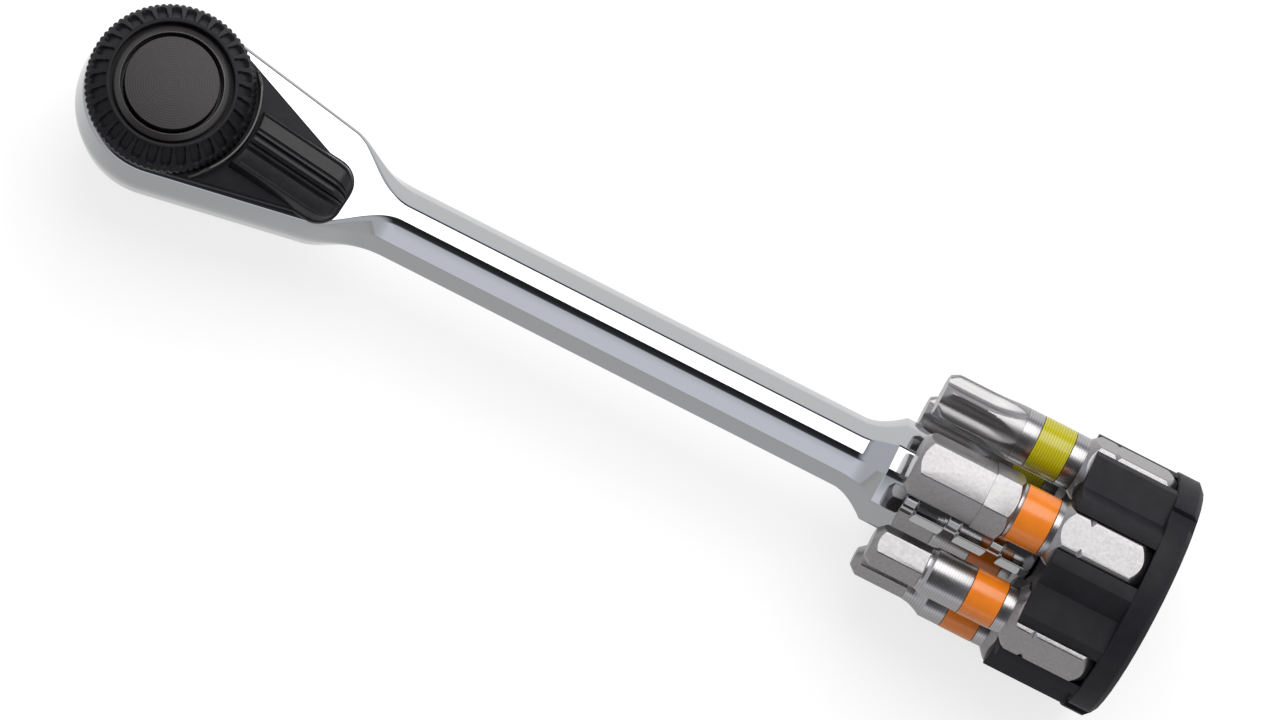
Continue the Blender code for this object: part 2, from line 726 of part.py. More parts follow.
def plate_outline():
    """Pear outline: a round hub under the dial, tangent sides, and the grip's rounded end."""
    grip_half = GRIP_WIDTH / 2
    tangent = math.pi / 2 - LEVER_FLARE
    hub = arc((0, 0), LEVER_HUB, tangent, 2 * math.pi - tangent, ROUND_COUNT)
    run = (LEVER_HUB * math.sin(tangent) - grip_half) / math.tan(LEVER_FLARE)
    shoulder = LEVER_HUB * math.cos(tangent) + run
    return hub + [(shoulder, -grip_half)] + grip_end() + [(shoulder, grip_half)]


def lip_outline():
    """The low wall round the dial, as far as the plate's sides let it reach."""
    tangent = math.pi / 2 - LEVER_FLARE
    reach = tangent - math.acos(min(1, LEVER_HUB / (lip_outer + SEAT_GAP)))
    outer = arc((0, 0), lip_outer, -reach, reach, LIP_COUNT)
    inner = arc((0, 0), lip_inner, reach, -reach, LIP_COUNT)
    return outer + inner


def grip_end(inset=0.0):
    """The grip's end, from its right side round to its left."""
    half = GRIP_WIDTH / 2
    centre = LEVER_REACH - LEVER_CORNER
    radius = LEVER_CORNER - inset
    right = arc((centre, LEVER_CORNER - half), radius, -math.pi / 2, 0, CORNER_COUNT)
    left = arc((centre, half - LEVER_CORNER), radius, 0, math.pi / 2, CORNER_COUNT)
    return right + left


def grip_mesh():
    """The raised thumb grip, drawn in towards its top."""
    half = GRIP_WIDTH / 2
    start = LEVER_HUB / 2
    plate_middle = plate_top - LEVER_PLATE / 2
    drawn_in = GRIP_STEP + GRIP_DRAFT
    sections = []
    for height, inset in ((plate_middle, GRIP_STEP), (plate_top, GRIP_STEP), (grip_top + BITE, drawn_in)):
        loop = [(start, half - inset), (start, inset - half)] + grip_end(inset)
        sections.append([(x, y, height) for x, y in loop])
    return loft("lever_grip", sections)


def rib_section(x, top):
    """Section across the ribbed bar that shapes the grip's top."""
    half = GRIP_WIDTH / 2
    side = [(share * half, top - drop * RIB_DEPTH) for share, drop in RIB_PROFILE]
    side += [(GRIP_WIDTH, side[-1][1]), (GRIP_WIDTH, lever_bottom)]
    right = [(x, y, z) for y, z in side]
    left = [(x, -y, z) for y, z in reversed(side[1:])]
    return right + left


def rib_mesh():
    """Ribbed bar sloping down from the dial, and rolling down over the grip's end."""
    fall = math.tan(GRIP_SLOPE)
    roll_start = LEVER_REACH - GRIP_ROLL
    sections = [rib_section(0, grip_top + fall * grip_inner)]
    for i in range(ROLL_COUNT + 1):
        turn = math.pi / 2 * i / ROLL_COUNT
        x = roll_start + (GRIP_ROLL + BITE / 2) * math.sin(turn)
        sections.append(rib_section(x, grip_top - fall * (x - grip_inner) - GRIP_ROLL * (1 - math.cos(turn))))
    return loft("grip_ribs", sections)


def make_lever(tool):
    turned_to = (0, 0, -LEVER_THROW)
    plate = extruded("selector_lever", [plate_outline()], lever_bottom, plate_top)
    lever = add_part("selector_lever", plate, "black", tool, (0, 0, 0), turned_to)

    grip = add_cutter("lever_grip", grip_mesh(), lever)
    combine(grip, add_cutter("grip_ribs", rib_mesh(), lever), "INTERSECT")
    dial_room = prism("dial_room", ROUND_COUNT, grip_inner, lever_bottom - BITE, grip_top + 2 * BITE)
    combine(grip, add_cutter("dial_room", dial_room, lever), "DIFFERENCE")
    combine(lever, grip, "UNION")
    lip = extruded("lever_lip", [lip_outline()], plate_top - LEVER_PLATE / 2, plate_top + LIP_RISE)
    combine(lever, add_cutter("lever_lip", lip, lever), "UNION")

    post_half = POST_WIDTH / 2
    post = box("lever_post", (POST_START, -post_half, post_low), (post_end, post_half, plate_top - SEAT_GAP))
    combine(lever, add_cutter("lever_post", post, lever), "UNION")
    hole = prism("lever_hole", ROUND_COUNT, journal_hole, lever_bottom - BITE, plate_top + BITE)
    combine(lever, add_cutter("lever_hole", hole, lever), "DIFFERENCE")
    bore_end = post_end - BORE_WALL
    bore_start = POST_START - BITE
    bore = prism("plunger_bore", SMALL_ROUND_COUNT, PLUNGER_RADIUS + SEAT_GAP, bore_start, bore_end)
    combine(lever, add_cutter("plunger_bore", bore, lever, (0, 0, PLUNGER_RISE), ALONG_X), "DIFFERENCE")

    plunger_end = plunger_tip + PLUNGER_LENGTH
    dome = arc((0, 0), PLUNGER_RADIUS, 0, math.pi / 2, DOME_COUNT)
    section = [(0, plunger_end), (PLUNGER_RADIUS, plunger_end)]
    section += [(r, plunger_tip + PLUNGER_RADIUS - h) for r, h in dome[:-1]] + [(0, plunger_tip)]
    plunger = add_part(
        "plunger", profile_mesh("plunger", section), "steel", lever, (0, 0, PLUNGER_RISE), ALONG_X
    )
    turn_profile(plunger, SMALL_ROUND_COUNT)
    make_spring(lever, plunger_end + SEAT_GAP, bore_end - SEAT_GAP)


def make_spring(lever, start, end):
    """The plunger's coil spring, one tube along a helix in the bore behind it."""
    radius = PLUNGER_RADIUS - SPRING_WIRE / 2
    curve = bpy.data.curves.new("plunger_spring", "CURVE")
    curve.dimensions = "3D"
    curve.bevel_depth = SPRING_WIRE / 2
    curve.bevel_resolution = 1
    curve.use_fill_caps = True
    spline = curve.splines.new("POLY")
    count = SPRING_TURNS * SPRING_COUNT + 1
    spline.points.add(count - 1)
    first, last = start + SPRING_WIRE / 2, end - SPRING_WIRE / 2
    for i, point in enumerate(spline.points):
        angle = 2 * math.pi * i / SPRING_COUNT
        x = mix(first, last, i / (count - 1))
        point.co = (x, radius * math.cos(angle), PLUNGER_RISE + radius * math.sin(angle), 1)
    spring = bpy.data.objects.new("plunger_spring", curve)
    parts.objects.link(spring)
    spring.parent = lever
    curve.materials.append(MATERIALS["spring"])


def scallop_loops():
    """Radial finger pockets on the dial's bevel, round at their outer ends."""
    half = SCALLOP_WIDTH / 2
    inner = SCALLOP_REACH - SCALLOP_LENGTH
    centre = SCALLOP_REACH - half
    outer_end = arc((centre, 0), half, -math.pi / 2, math.pi / 2, POCKET_COUNT)
    outline = [(inner, -half)] + outer_end + [(inner, half)]
    loops = []
    for i in range(SCALLOPS):
        turn = 2 * math.pi * i / SCALLOPS
        c, s = math.cos(turn), math.sin(turn)
        loops.append([(x * c - y * s, x * s + y * c) for x, y in outline])
    return loops


def make_dial(tool):
    outline = []
    for i in range(KNURLS):
        for share, radius in ((0.0, DIAL_RADIUS), (0.5, DIAL_RADIUS - KNURL_DEPTH)):
            angle = 2 * math.pi * (i + share) / KNURLS
            outline.append((radius * math.cos(angle), radius * math.sin(angle)))
    dial = add_part("dial", extruded("dial", [outline], dial_bottom, dial_top), "black", tool)
    cap_room = CAP_RADIUS + 2 * SEAT_GAP
    land = DIAL_RADIUS - DIAL_BEVEL
    over = DIAL_RADIUS + BITE
    slope = DIAL_BEVEL_DROP / DIAL_BEVEL
    over_low = dial_top - slope * (over - land)
    bevel_section = [(over, dial_top + BITE), (over, over_low), (land, dial_top), (land, dial_top + BITE)]
    half_step = math.pi / SCALLOPS
    bevel = add_cutter("dial_bevel", profile_mesh("dial_bevel", bevel_section, True, half_step), tool)
    combine(dial, turn_profile(bevel, SCALLOPS), "DIFFERENCE")
    well_section = [
        (0, dial_top + BITE),
        (cap_room, dial_top + BITE),
        (cap_room, cap_seat),
        (SCREW_HEAD_RADIUS + SEAT_GAP, cap_seat),
        (SCREW_HEAD_RADIUS + SEAT_GAP, floor_top),
        (0, floor_top),
    ]
    well = add_cutter("dial_well", profile_mesh("dial_well", well_section), tool)
    combine(dial, turn_profile(well, ROUND_COUNT), "DIFFERENCE")
    hole_radius = (SQUARE_FLATS + 2 * SEAT_GAP) / math.sqrt(2)
    hole = prism("dial_square", 4, hole_radius, dial_bottom - BITE, floor_top + SEAT_GAP, math.pi / 4)
    combine(dial, add_cutter("dial_square", hole, tool), "DIFFERENCE")
    sink = SCALLOP_DEPTH * math.hypot(1, slope)
    core_low = over_low - sink - BITE
    core_section = [
        (0, dial_top - sink),
        (land, dial_top - sink),
        (over, over_low - sink),
        (over, core_low),
        (0, core_low),
    ]
    core = add_cutter("dial_core", profile_mesh("dial_core", core_section, turn=half_step), tool)
    turn_profile(core, SCALLOPS)
    pockets = extruded("dial_scallops", scallop_loops(), dial_bottom, dial_top + BITE)
    pocket_cut = add_cutter("dial_scallops", pockets, tool)
    combine(pocket_cut, core, "DIFFERENCE")
    combine(dial, pocket_cut, "DIFFERENCE")

    screw_low = screw_seat - SCREW_LENGTH
    screw_section = [
        (0, cap_seat),
        (SCREW_HEAD_RADIUS, cap_seat),
        (SCREW_HEAD_RADIUS, screw_seat),
        (SCREW_RADIUS, screw_seat),
        (SCREW_RADIUS, screw_low),
        (0, screw_low),
    ]
    screw = add_part("dial_screw", profile_mesh("dial_screw", screw_section), "steel", tool)
    turn_profile(screw, SMALL_ROUND_COUNT)
    recess = hexagon("screw_recess", DRIVER_FLATS, cap_seat - SCREW_HEAD_HEIGHT / 2, cap_seat + BITE)
    combine(screw, add_cutter("screw_recess", recess, tool), "DIFFERENCE")

    groove_low = disc_top - CAP_GROOVE
    ring_inner = CAP_DISC + CAP_GROOVE
    ring_high = disc_top + CAP_RING_RISE
    cap_section = [
        (0, disc_top),
        (CAP_DISC, disc_top),
        (CAP_DISC, groove_low),
        (ring_inner, groove_low),
        (ring_inner, disc_top),
        (mix(ring_inner, CAP_RADIUS, 0.5), ring_high),
        (CAP_RADIUS, ring_high),
        (CAP_RADIUS, cap_bottom),
        (0, cap_bottom),
    ]
    cap = add_part("dial_cap", profile_mesh("dial_cap", cap_section), "turned_black", tool)
    turn_profile(cap, ROUND_COUNT)


def holder_outline():
    """Section of the arms: lips beside each slot, and valleys between neighbouring slots."""
    lip = pitch_radius + LIP_REACH
    wall_plane = shank_bore_flats / 2 + SLOT_WALL
    step = 2 * math.pi / SLOTS
    lip_side = (wall_plane - LIP_REACH * math.cos(step)) / math.sin(step)
    valley = (wall_plane + pitch_radius * math.cos(step)) / math.cos(step / 2)
    points = []
    for i in range(SLOTS):
        c, s = math.cos(i * step), math.sin(i * step)
        for y in (-lip_side, lip_side):
            points.append((lip * c - y * s, lip * s + y * c))
        between = (i + 0.5) * step
        points.append((valley * math.cos(between), valley * math.sin(between)))
    return points


def make_holder(tool):
    frame = new_frame("holder_axis", tool, (arm_front, 0, 0), ALONG_X)
    flange_low = ARM_LENGTH
    flange_high = ARM_LENGTH + FLANGE_THICKNESS
    arms = extruded("bit_holder", [holder_outline()], 0, flange_low + FLANGE_THICKNESS / 2)
    holder = add_part("bit_holder", arms, "holder", frame)
    flange_section = [
        (0, flange_high),
        (FLANGE_RADIUS - FLANGE_EDGE, flange_high),
        (FLANGE_RADIUS, flange_high - FLANGE_EDGE),
        (FLANGE_RADIUS, flange_low),
        (0, flange_low),
    ]
    flange = add_cutter("holder_flange", profile_mesh("holder_flange", flange_section), frame)
    combine(holder, turn_profile(flange, ROUND_COUNT), "UNION")
    step = 2 * math.pi / SLOTS
    for i in range(SLOTS):
        name = f"bit_slot_{i + 1}"
        slot = hexagon(name, shank_bore_flats, -BITE, flange_low)
        place = (pitch_radius * math.cos(i * step), pitch_radius * math.sin(i * step), 0)
        combine(holder, add_cutter(name, slot, frame, place, (0, 0, i * step)), "DIFFERENCE")
    bore = hexagon("tail_bore", HEX_FLATS + 2 * RUN_GAP, -BITE, flange_low, math.pi / 6)
    combine(holder, add_cutter("tail_bore", bore, frame), "DIFFERENCE")
    for i in range(NOTCH_COUNT):
        name = f"rim_notch_{i + 1}"
        turn = step / 2 + i * 2 * math.pi / NOTCH_COUNT
        notch = box(
            name,
            (FLANGE_RADIUS - NOTCH_DEPTH, -NOTCH_WIDTH / 2, flange_low - BITE),
            (FLANGE_RADIUS + BITE, NOTCH_WIDTH / 2, flange_high + BITE),
        )
        combine(holder, add_cutter(name, notch, frame, (0, 0, 0), (0, 0, turn)), "DIFFERENCE")


def lobe_radius(size, angle):
    """Six rounded lobes with equal hollows between them."""
    depth = LOBE_HOLLOW * size
    return size / 2 - depth / 2 + depth / 2 * math.cos(LOBES * angle)


def lobe_mesh(name, size, tip_length, neck_radius):
    """A lobed tip whose hollows run out into the round body behind it."""
    count = LOBE_COUNT * LOBES
    angles = [2 * math.pi * i / count for i in range(count)]
    end = tip_length + lobe_runout
    places = [(0.0, 0.0)]
    for i in range(RUNOUT_COUNT + 1):
        along = i / RUNOUT_COUNT
        places.append((mix(tip_length, end, along), ease(0, 1, along)))
    places.append((end + BITE, 1.0))
    sections = []
    for height, flow in places:
        radii = [mix(lobe_radius(size, a), neck_radius, flow) for a in angles]
        sections.append([(r * math.cos(a), r * math.sin(a), height) for r, a in zip(radii, angles)])
    return loft(name, sections)


def bit_profile(tip_radius, tip_end, collar, neck_radius, band_start):
    """The turned outline of a bit, from its shank's end (at the top) down to its tip."""
    band_end = band_start + band_length
    groove = neck_radius - BAND_DEPTH
    collar_end = tip_end + collar
    step = [(neck_radius, tip_end + SHOULDER)]
    if collar:
        step = [
            (neck_radius, collar_end + COLLAR_EDGE),
            (hex_corner, collar_end),
            (hex_corner, tip_end + COLLAR_EDGE),
        ]
    rear = [
        (0, BIT_LENGTH),
        (hex_corner - SHANK_CHAMFER, BIT_LENGTH),
        (hex_corner, BIT_LENGTH - SHANK_CHAMFER),
        (hex_corner, shank_start + DETENT_BACK + DETENT_WIDTH),
        (hex_corner - DETENT_DEPTH, shank_start + DETENT_BACK + DETENT_WIDTH / 2),
        (hex_corner, shank_start + DETENT_BACK),
        (hex_corner, shank_start + SHOULDER),
        (neck_radius, shank_start),
        (neck_radius, band_end),
        (groove, band_end),
        (groove, band_start),
        (neck_radius, band_start),
    ]
    front = [
        (tip_radius, tip_end),
        (tip_radius, TIP_CHAMFER),
        (tip_radius - TIP_CHAMFER, 0),
        (0, 0),
    ]
    return rear + step + front


def make_bit(frame, name, shape, size, neck_radius, band_colour, tip_share, collar_share, band_share):
    tip_length = tip_share * shank_start
    collar = collar_share * shank_start
    band_start = band_share * shank_start
    tip_radius = size / math.sqrt(3) if shape == "hex" else size / 2
    tip_end = tip_length if shape == "hex" else tip_length + lobe_runout / 2
    turned = profile_mesh(f"bit_{name}", bit_profile(tip_radius, tip_end, collar, neck_radius, band_start))
    bit = add_part(f"bit_{name}", turned, "nickel", frame, (0, 0, 0), ALONG_X)
    turn_profile(bit, SMALL_ROUND_COUNT)
    stock_name = f"stock_{name}"
    if shape == "hex":
        stock_section = [
            (0, BIT_LENGTH + BITE),
            (hex_corner, BIT_LENGTH + BITE),
            (hex_corner, tip_length),
            (tip_radius, tip_length),
            (tip_radius, -BITE),
            (0, -BITE),
        ]
        corner_first = profile_mesh(stock_name, stock_section, turn=math.pi / 6)
        stock = add_cutter(stock_name, corner_first, frame, (0, 0, 0), ALONG_X)
        turn_profile(stock, 6)
    else:
        shank = hexagon(stock_name, HEX_FLATS, tip_length + lobe_runout, BIT_LENGTH + BITE)
        stock = add_cutter(stock_name, shank, frame, (0, 0, 0), ALONG_X)
        lobes = lobe_mesh(f"lobes_{name}", size, tip_length, neck_radius)
        combine(stock, add_cutter(f"lobes_{name}", lobes, frame, (0, 0, 0), ALONG_X), "UNION")
    combine(bit, stock, "INTERSECT")

    inner = neck_radius - BAND_DEPTH + BAND_GAP
    outer = neck_radius + BAND_PROUD
    band = ring_section(inner, outer, band_start + BAND_GAP, band_start + band_length - BAND_GAP)
    ring_mesh = profile_mesh(f"band_{name}", band, True)
    ring = add_part(f"band_{name}", ring_mesh, band_colour, frame, (0, 0, 0), ALONG_X)
    turn_profile(ring, SMALL_ROUND_COUNT)


def make_bits(tool):
    step = 2 * math.pi / SLOTS
    for i, (name, *spec) in enumerate(BITS):
        turn = i * step
        place = (bit_tip, -pitch_radius * math.sin(turn), pitch_radius * math.cos(turn))
        frame = new_frame(f"slot_{i + 1}", tool, place, (turn, 0, 0))
        make_bit(frame, name, *spec)


def finish_parts():
    """Freeze each piece's modifiers into its mesh, shaded smooth up to its real edges."""
    bpy.context.view_layer.update()
    graph = bpy.context.evaluated_depsgraph_get()
    solids = [obj for obj in parts.objects if obj.type in ("MESH", "CURVE")]
    meshes = [bpy.data.meshes.new_from_object(obj.evaluated_get(graph)) for obj in solids]
    for obj, mesh in zip(solids, meshes):
        mesh.shade_smooth()
        mesh.set_sharp_from_angle(angle=SHARP_ANGLE)
        if obj.type == "MESH":
            obj.modifiers.clear()
            obj.data = mesh


def main():
    middle = (flange_end - HEAD_RADIUS) / 2
    tool = new_frame("tool_frame", None, (-middle, 0, FLANGE_RADIUS))
    make_body(tool)
    make_drive(tool)
    make_pawl(tool)
    make_lever(tool)
    make_dial(tool)
    make_holder(tool)
    make_bits(tool)
    finish_parts()


main()
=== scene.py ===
"""Looks of the micro ratchet: chromed forging, black dial and lever, banded bits in a black holder."""

import math

import bmesh
import bpy
from mathutils import Matrix, Vector


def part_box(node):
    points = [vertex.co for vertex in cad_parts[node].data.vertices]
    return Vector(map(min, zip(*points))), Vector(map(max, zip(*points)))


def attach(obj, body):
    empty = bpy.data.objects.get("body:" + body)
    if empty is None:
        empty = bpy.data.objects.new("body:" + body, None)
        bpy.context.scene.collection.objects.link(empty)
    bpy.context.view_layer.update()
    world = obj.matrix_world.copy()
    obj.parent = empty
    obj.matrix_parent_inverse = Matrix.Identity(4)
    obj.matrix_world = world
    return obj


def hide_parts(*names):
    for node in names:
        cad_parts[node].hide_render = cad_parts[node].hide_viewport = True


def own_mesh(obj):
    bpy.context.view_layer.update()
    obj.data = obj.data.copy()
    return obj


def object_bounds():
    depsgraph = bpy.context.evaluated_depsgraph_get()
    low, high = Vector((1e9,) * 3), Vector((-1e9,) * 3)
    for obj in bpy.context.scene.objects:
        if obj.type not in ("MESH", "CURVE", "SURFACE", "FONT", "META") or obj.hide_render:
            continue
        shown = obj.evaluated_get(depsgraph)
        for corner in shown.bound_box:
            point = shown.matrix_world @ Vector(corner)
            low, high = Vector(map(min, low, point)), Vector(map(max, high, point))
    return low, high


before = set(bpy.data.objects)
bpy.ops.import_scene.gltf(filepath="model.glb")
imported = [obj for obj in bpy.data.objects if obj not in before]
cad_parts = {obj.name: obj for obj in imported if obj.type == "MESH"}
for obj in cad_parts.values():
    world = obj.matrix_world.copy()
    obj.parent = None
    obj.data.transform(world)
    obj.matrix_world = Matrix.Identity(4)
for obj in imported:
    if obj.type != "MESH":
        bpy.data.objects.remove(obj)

cad_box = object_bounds()

# Sizes in millimetres, about the drive axis and the handle's centre line
MM = 0.001
WELD = 0.002

# Sides of round shapes, and the angles at which faces meet in a hard edge or in one plane
ROUND = 96
FINE_ROUND = 128
BIT_ROUND = 72
PIN_ROUND = 32
SHARP = math.radians(32)
FLAT_SHARP = math.radians(12)
IN_PLANE = math.radians(1)

# Forged head, neck and handle
HEAD_RADIUS = 9.1
HEAD_RISE = 5.0
HEAD_DRAFT = 0.9
HEAD_EDGE = 0.3
HEAD_TAPER = math.radians(10.3)
NECK_START = 18.2
NECK_END = 26.2
HANDLE_END = 76.4
HANDLE_RISE = 4.1
HANDLE_FLAT = 1.0
HANDLE_BEVEL = 2.87
HANDLE_BEVEL_RISE = 2.1
HANDLE_GIRTH = 3.92

# Flare and collar; the collar's edge has steps back from its end, with the section's size there
FLARE_CURVE = 1.8
FLARE_SHARE = 0.94
CREST_EASE = 0.12
COLLAR_START = 80.2
COLLAR_END = 83.2
COLLAR_RISE = 5.78
COLLAR_FLAT = 1.5
COLLAR_BEVEL = 4.29
COLLAR_BEVEL_RISE = 2.96
COLLAR_GIRTH = 5.86
COLLAR_EDGE = ((0.3, 1.0), (0.1, 0.985), (0.0, 0.94), (0.0, 0.5))

# Setbacks that ease the corners of half a section, from its top to its bottom
HEAD_EASE = (0.1, 0.24, 0.24, 1.2, 0.24, 0.24, 0.1)
HANDLE_EASE = (0.1, 0.46, 0.22, 0.3, 0.22, 0.46, 0.1)
COLLAR_EASE = (0.1, 0.46, 0.4, 0.5, 0.4, 0.46, 0.1)

# Room inside the head
GEAR_BORE = 5.75
BORE_LIP = 0.25
RING_BORE = 6.35
RING_TOP = -3.0
RING_LOW = -3.8
ROOF_UNDER = 3.0
JOURNAL_HOLE = 4.05
JOURNAL_LOW = 2.0
JOURNAL_HIGH = 6.0
PAWL_POCKET = ((2.9, -4.0, -2.2), (9.1, 4.0, 2.9))
POST_SLOT = ((9.0, -2.7, -1.6), (13.4, 2.7, 6.0))
PIN_PLACE = 7.4
PIN_TOP = 3.9
PIN_HOLE = 0.85
PIN_LIP = 0.15

# Hexagon tail with its grooves and rubber ring
HEX_FLATS = 6.35
HEX_CORNER = HEX_FLATS / math.sqrt(3)
TAIL_ROOT = 81.2
TAIL_LENGTH = 25.6
TAIL_SUNK = 1.5
TAIL_OVER = HEX_CORNER + 0.05
TAIL_CHAMFER = (0.65, 0.5)
TAIL_EASE = 0.12
TAIL_EDGE = 0.18
GROOVES = [2.9 + 4.8 * groove for groove in range(5)]
GROOVE_FLOOR = 2.7
GROOVE_FLOOR_HALF = 0.65
GROOVE_MOUTH_HALF = 0.85
RUBBER_INNER = 2.8
RUBBER_INNER_HALF = 0.5
RUBBER_SIDE = 3.0
RUBBER_BULGE = 0.22
RUBBER_HALF = 0.55

# Selector lever: plate edges are an inset and a height from the plate's underside or its top
LEVER_LOW = 5.15
PLATE_TOP = 6.15
PLATE_LOWER_EDGE = ((0.3, 0.0), (0.1, 0.03), (0.0, 0.15))
PLATE_UPPER_EDGE = ((0.0, -0.22), (0.05, -0.09), (0.12, -0.03), (0.24, 0.0))
LEVER_HUB = 8.2
LEVER_FLARE = math.radians(17)
LEVER_REACH = 20.5
LEVER_CORNER = 2.5
LEVER_TURN = math.radians(-6)

# Lip round the dial: its section is a distance out and a share of its height
LIP_INNER = 8.8
LIP_OUTER = 9.2
LIP_RISE = 1.5
LIP_FOOT = PLATE_TOP - 0.1
LIP_END_SHARE = 0.15
LIP_FULL_SHARE = 0.72
LIP_SECTION = ((0.0, 0.0), (0.0, 0.93), (0.02, 0.98), (0.06, 1.0), (0.22, 0.99), (0.27, 0.94), (0.3, 0.0))

# Thumb grip: its inner edge has steps back from the dial and drops from the top
GRIP_HALF = 3.5
GRIP_SKIRT = 3.36
GRIP_TOP = 8.45
GRIP_FOOT = PLATE_TOP - 0.12
GRIP_INNER = 9.45
GRIP_INNER_EDGE = ((0.0, 0.25), (0.03, 0.11), (0.11, 0.03), (0.24, 0.0))
GRIP_END = LEVER_REACH - 0.14
GRIP_FALL = math.tan(math.radians(4))
GRIP_ROLL = 1.7
GRIP_CROWN = 0.035

# Plunger in the lever's post, and its spring
POST = ((9.4, -1.15, -1.2), (13.0, 1.15, PLATE_TOP - 0.2))
POST_EDGE = 0.12
PLUNGER_BORE = 0.7
PLUNGER_BORE_START = 8.4
PLUNGER_BORE_END = 12.5
PLUNGER_RISE = 0.3
SPRING_START = 11.25
SPRING_END = 12.4
SPRING_TURNS = 3
SPRING_RADIUS = 0.5
WIRE_RADIUS = 0.1

# Thumb dial: its foot is a radius and a height above its underside
DIAL_RADIUS = 8.5
DIAL_LOW = 6.3
DIAL_TOP = 9.5
DIAL_LAND = 6.5
DIAL_BORE = 5.0
DIAL_FOOT = ((8.0, 0.0), (8.3, 0.06), (8.46, 0.2))
DIAL_WALL_FOOT = 0.35
DIAL_WALL_HEAD = 0.15
WELL_RADIUS = 6.15
WELL_FLOOR = 8.4
RIM_EASE = 0.14
LAND_EASE = 0.08
MOUTH_EASE = 0.09
BEVEL_SLOPE = 1.15
BEVEL_OUTER = 8.38
BEVEL_INNER = 6.56
BEVEL_TOLERANCE = 0.001
KNURLS = 80
KNURL_DEPTH = 0.18
KNURL_STEPS = 8
KNURL_INNER = 8.1
KNURL_OUTER = 8.4
KNURL_RUN = 0.3
POCKETS = 32
POCKET_DEPTH = 0.36
POCKET_START = 6.55
POCKET_REACH = 8.05
POCKET_HALF = 0.46
POCKET_OUTER_CORNER = 0.4
POCKET_INNER_CORNER = 0.16
POCKET_WALL_HALF = 0.05

# Turned disc in the dial, and the ring round it
DISC_RADIUS = 4.68
DISC_TOP = 9.38
DISC_FLANGE_RADIUS = 5.4
DISC_FLANGE_TOP = 7.6
DISC_FLANGE = 0.2
DISC_EASE = 0.08
COVER_RING_INNER = 5.1
COVER_RING_OUTER = 5.8
COVER_RING_LOW = 8.5
COVER_RING_INNER_DROP = 0.1
COVER_RING_OUTER_DROP = 0.42
COVER_RING_EASE = 0.1

# Bits, from their tips at zero to the ends of their shanks
BIT_LENGTH = 25.0
BIT_EASE = 0.1
PITCH_RADIUS = 9.55
SLOT_ANGLE = math.radians(60)
SHANK_START = 15.4
SHANK_OVER = HEX_CORNER + 0.03
SHANK_SHOULDER = 1.1
SHANK_CHAMFER = (0.85, 1.4)
SHANK_EDGE = 0.12
NOTCH_PLACE = 2.9
NOTCH_HALF = 0.45
NOTCH_DEPTH = 0.32
TIP_OVER = 0.02
TIP_CHAMFER = (0.8, 0.95)
TIP_EDGE = 0.1
TIP_SUNK = 0.9
TIP_STOCK = 1.5
NUT_SUNK = 0.6
NUT_STEM_INSET = 0.08
NUT_REAR = (0.25, 0.35)
NUT_FRONT = (0.25, 0.1)
BIT_NECK_SUNK = 0.2
BIT_NECK_EASE = 0.06
SHOULDER_INSET = 0.05
SHOULDER_LEAST = 0.3
SHOULDER_SLOPE = 3
HOLLOW_CURVE = 0.55
LOBE_RUNOUT = 1.4
LOBE_STEPS = 28 * 6
LOBE_HOLLOW = 0.14
LOBE_CURVE = 1.4
LOBE_FULL_SHARE = 0.6
LOBE_SWELL_SHARE = 0.3
LOBE_FACE_INSET = 0.55
LOBE_FACE_SLOPE = 0.65
LOBE_FACE = 0.9
BAND_LENGTH = 3.6
BAND_SEAT = 0.2
BAND_UNDER = 0.15
BAND_PROUD = 0.03
BAND_GAP = 0.05
BAND_EASE = 0.05

HOLDER_EDGE = 0.16

dial_low, dial_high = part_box("dial")
holder_low, holder_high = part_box("bit_holder")
bit_low, bit_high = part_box("bit_hex_6")
drive_axis = ((dial_low + dial_high) / 2).x
handle_line = ((holder_low + holder_high) / 2).z
TO_FRAME = Matrix.Translation((drive_axis, 0, handle_line)) @ Matrix.Scale(MM, 4)
bit_tip = (bit_low.x - drive_axis) / MM


def mix(a, b, t):
    return a + (b - a) * t


def ease(start, end, x):
    t = min(max((x - start) / (end - start), 0.0), 1.0)
    return t * t * (3 - 2 * t)


def steps(start, end, count):
    """Evenly spaced values from start to end, both included."""
    return [mix(start, end, i / count) for i in range(count + 1)]


def bend(before, corner, after, setback, places):
    """Points on the short curve that eases one corner of an outline."""
    corner = Vector(corner)
    back = Vector(before) - corner
    ahead = Vector(after) - corner
    start = corner + back.normalized() * min(setback, 0.45 * back.length)
    end = corner + ahead.normalized() * min(setback, 0.45 * ahead.length)
    return [start * (1 - t) ** 2 + corner * 2 * t * (1 - t) + end * t * t for t in places]


def eased(outline, setback, count=4):
    """An open outline with its inner corners eased."""
    places = steps(0, 1, count)
    points = [Vector(outline[0])]
    for before, corner, after in zip(outline, outline[1:], outline[2:]):
        points += bend(before, corner, after, setback, places)
    return points + [Vector(outline[-1])]


def skin(rows, closed=False):
    """A grid laid over rows of points, and joined round where the rows are closed."""
    bm = bmesh.new()
    along = len(rows) - 1
    count = len(rows[0])
    across = count if closed else count - 1
    bmesh.ops.create_grid(bm, x_segments=along, y_segments=across, size=1)
    for vert in bm.verts:
        i = round((vert.co.x + 1) / 2 * along)
        j = round((vert.co.y + 1) / 2 * across) % count
        vert.co = rows[i][j]
    return bm


def closed_up(bm):
    """Merges seams and poles, fills what is open, and turns every face outwards."""
    bmesh.ops.remove_doubles(bm, verts=bm.verts, dist=WELD)
    bmesh.ops.dissolve_degenerate(bm, edges=bm.edges, dist=WELD / 10)
    bmesh.ops.holes_fill(bm, edges=bm.edges, sides=0)
    bmesh.ops.recalc_face_normals(bm, faces=bm.faces)
    if bm.calc_volume(signed=True) < 0:
        bmesh.ops.reverse_faces(bm, faces=bm.faces)
    return bm


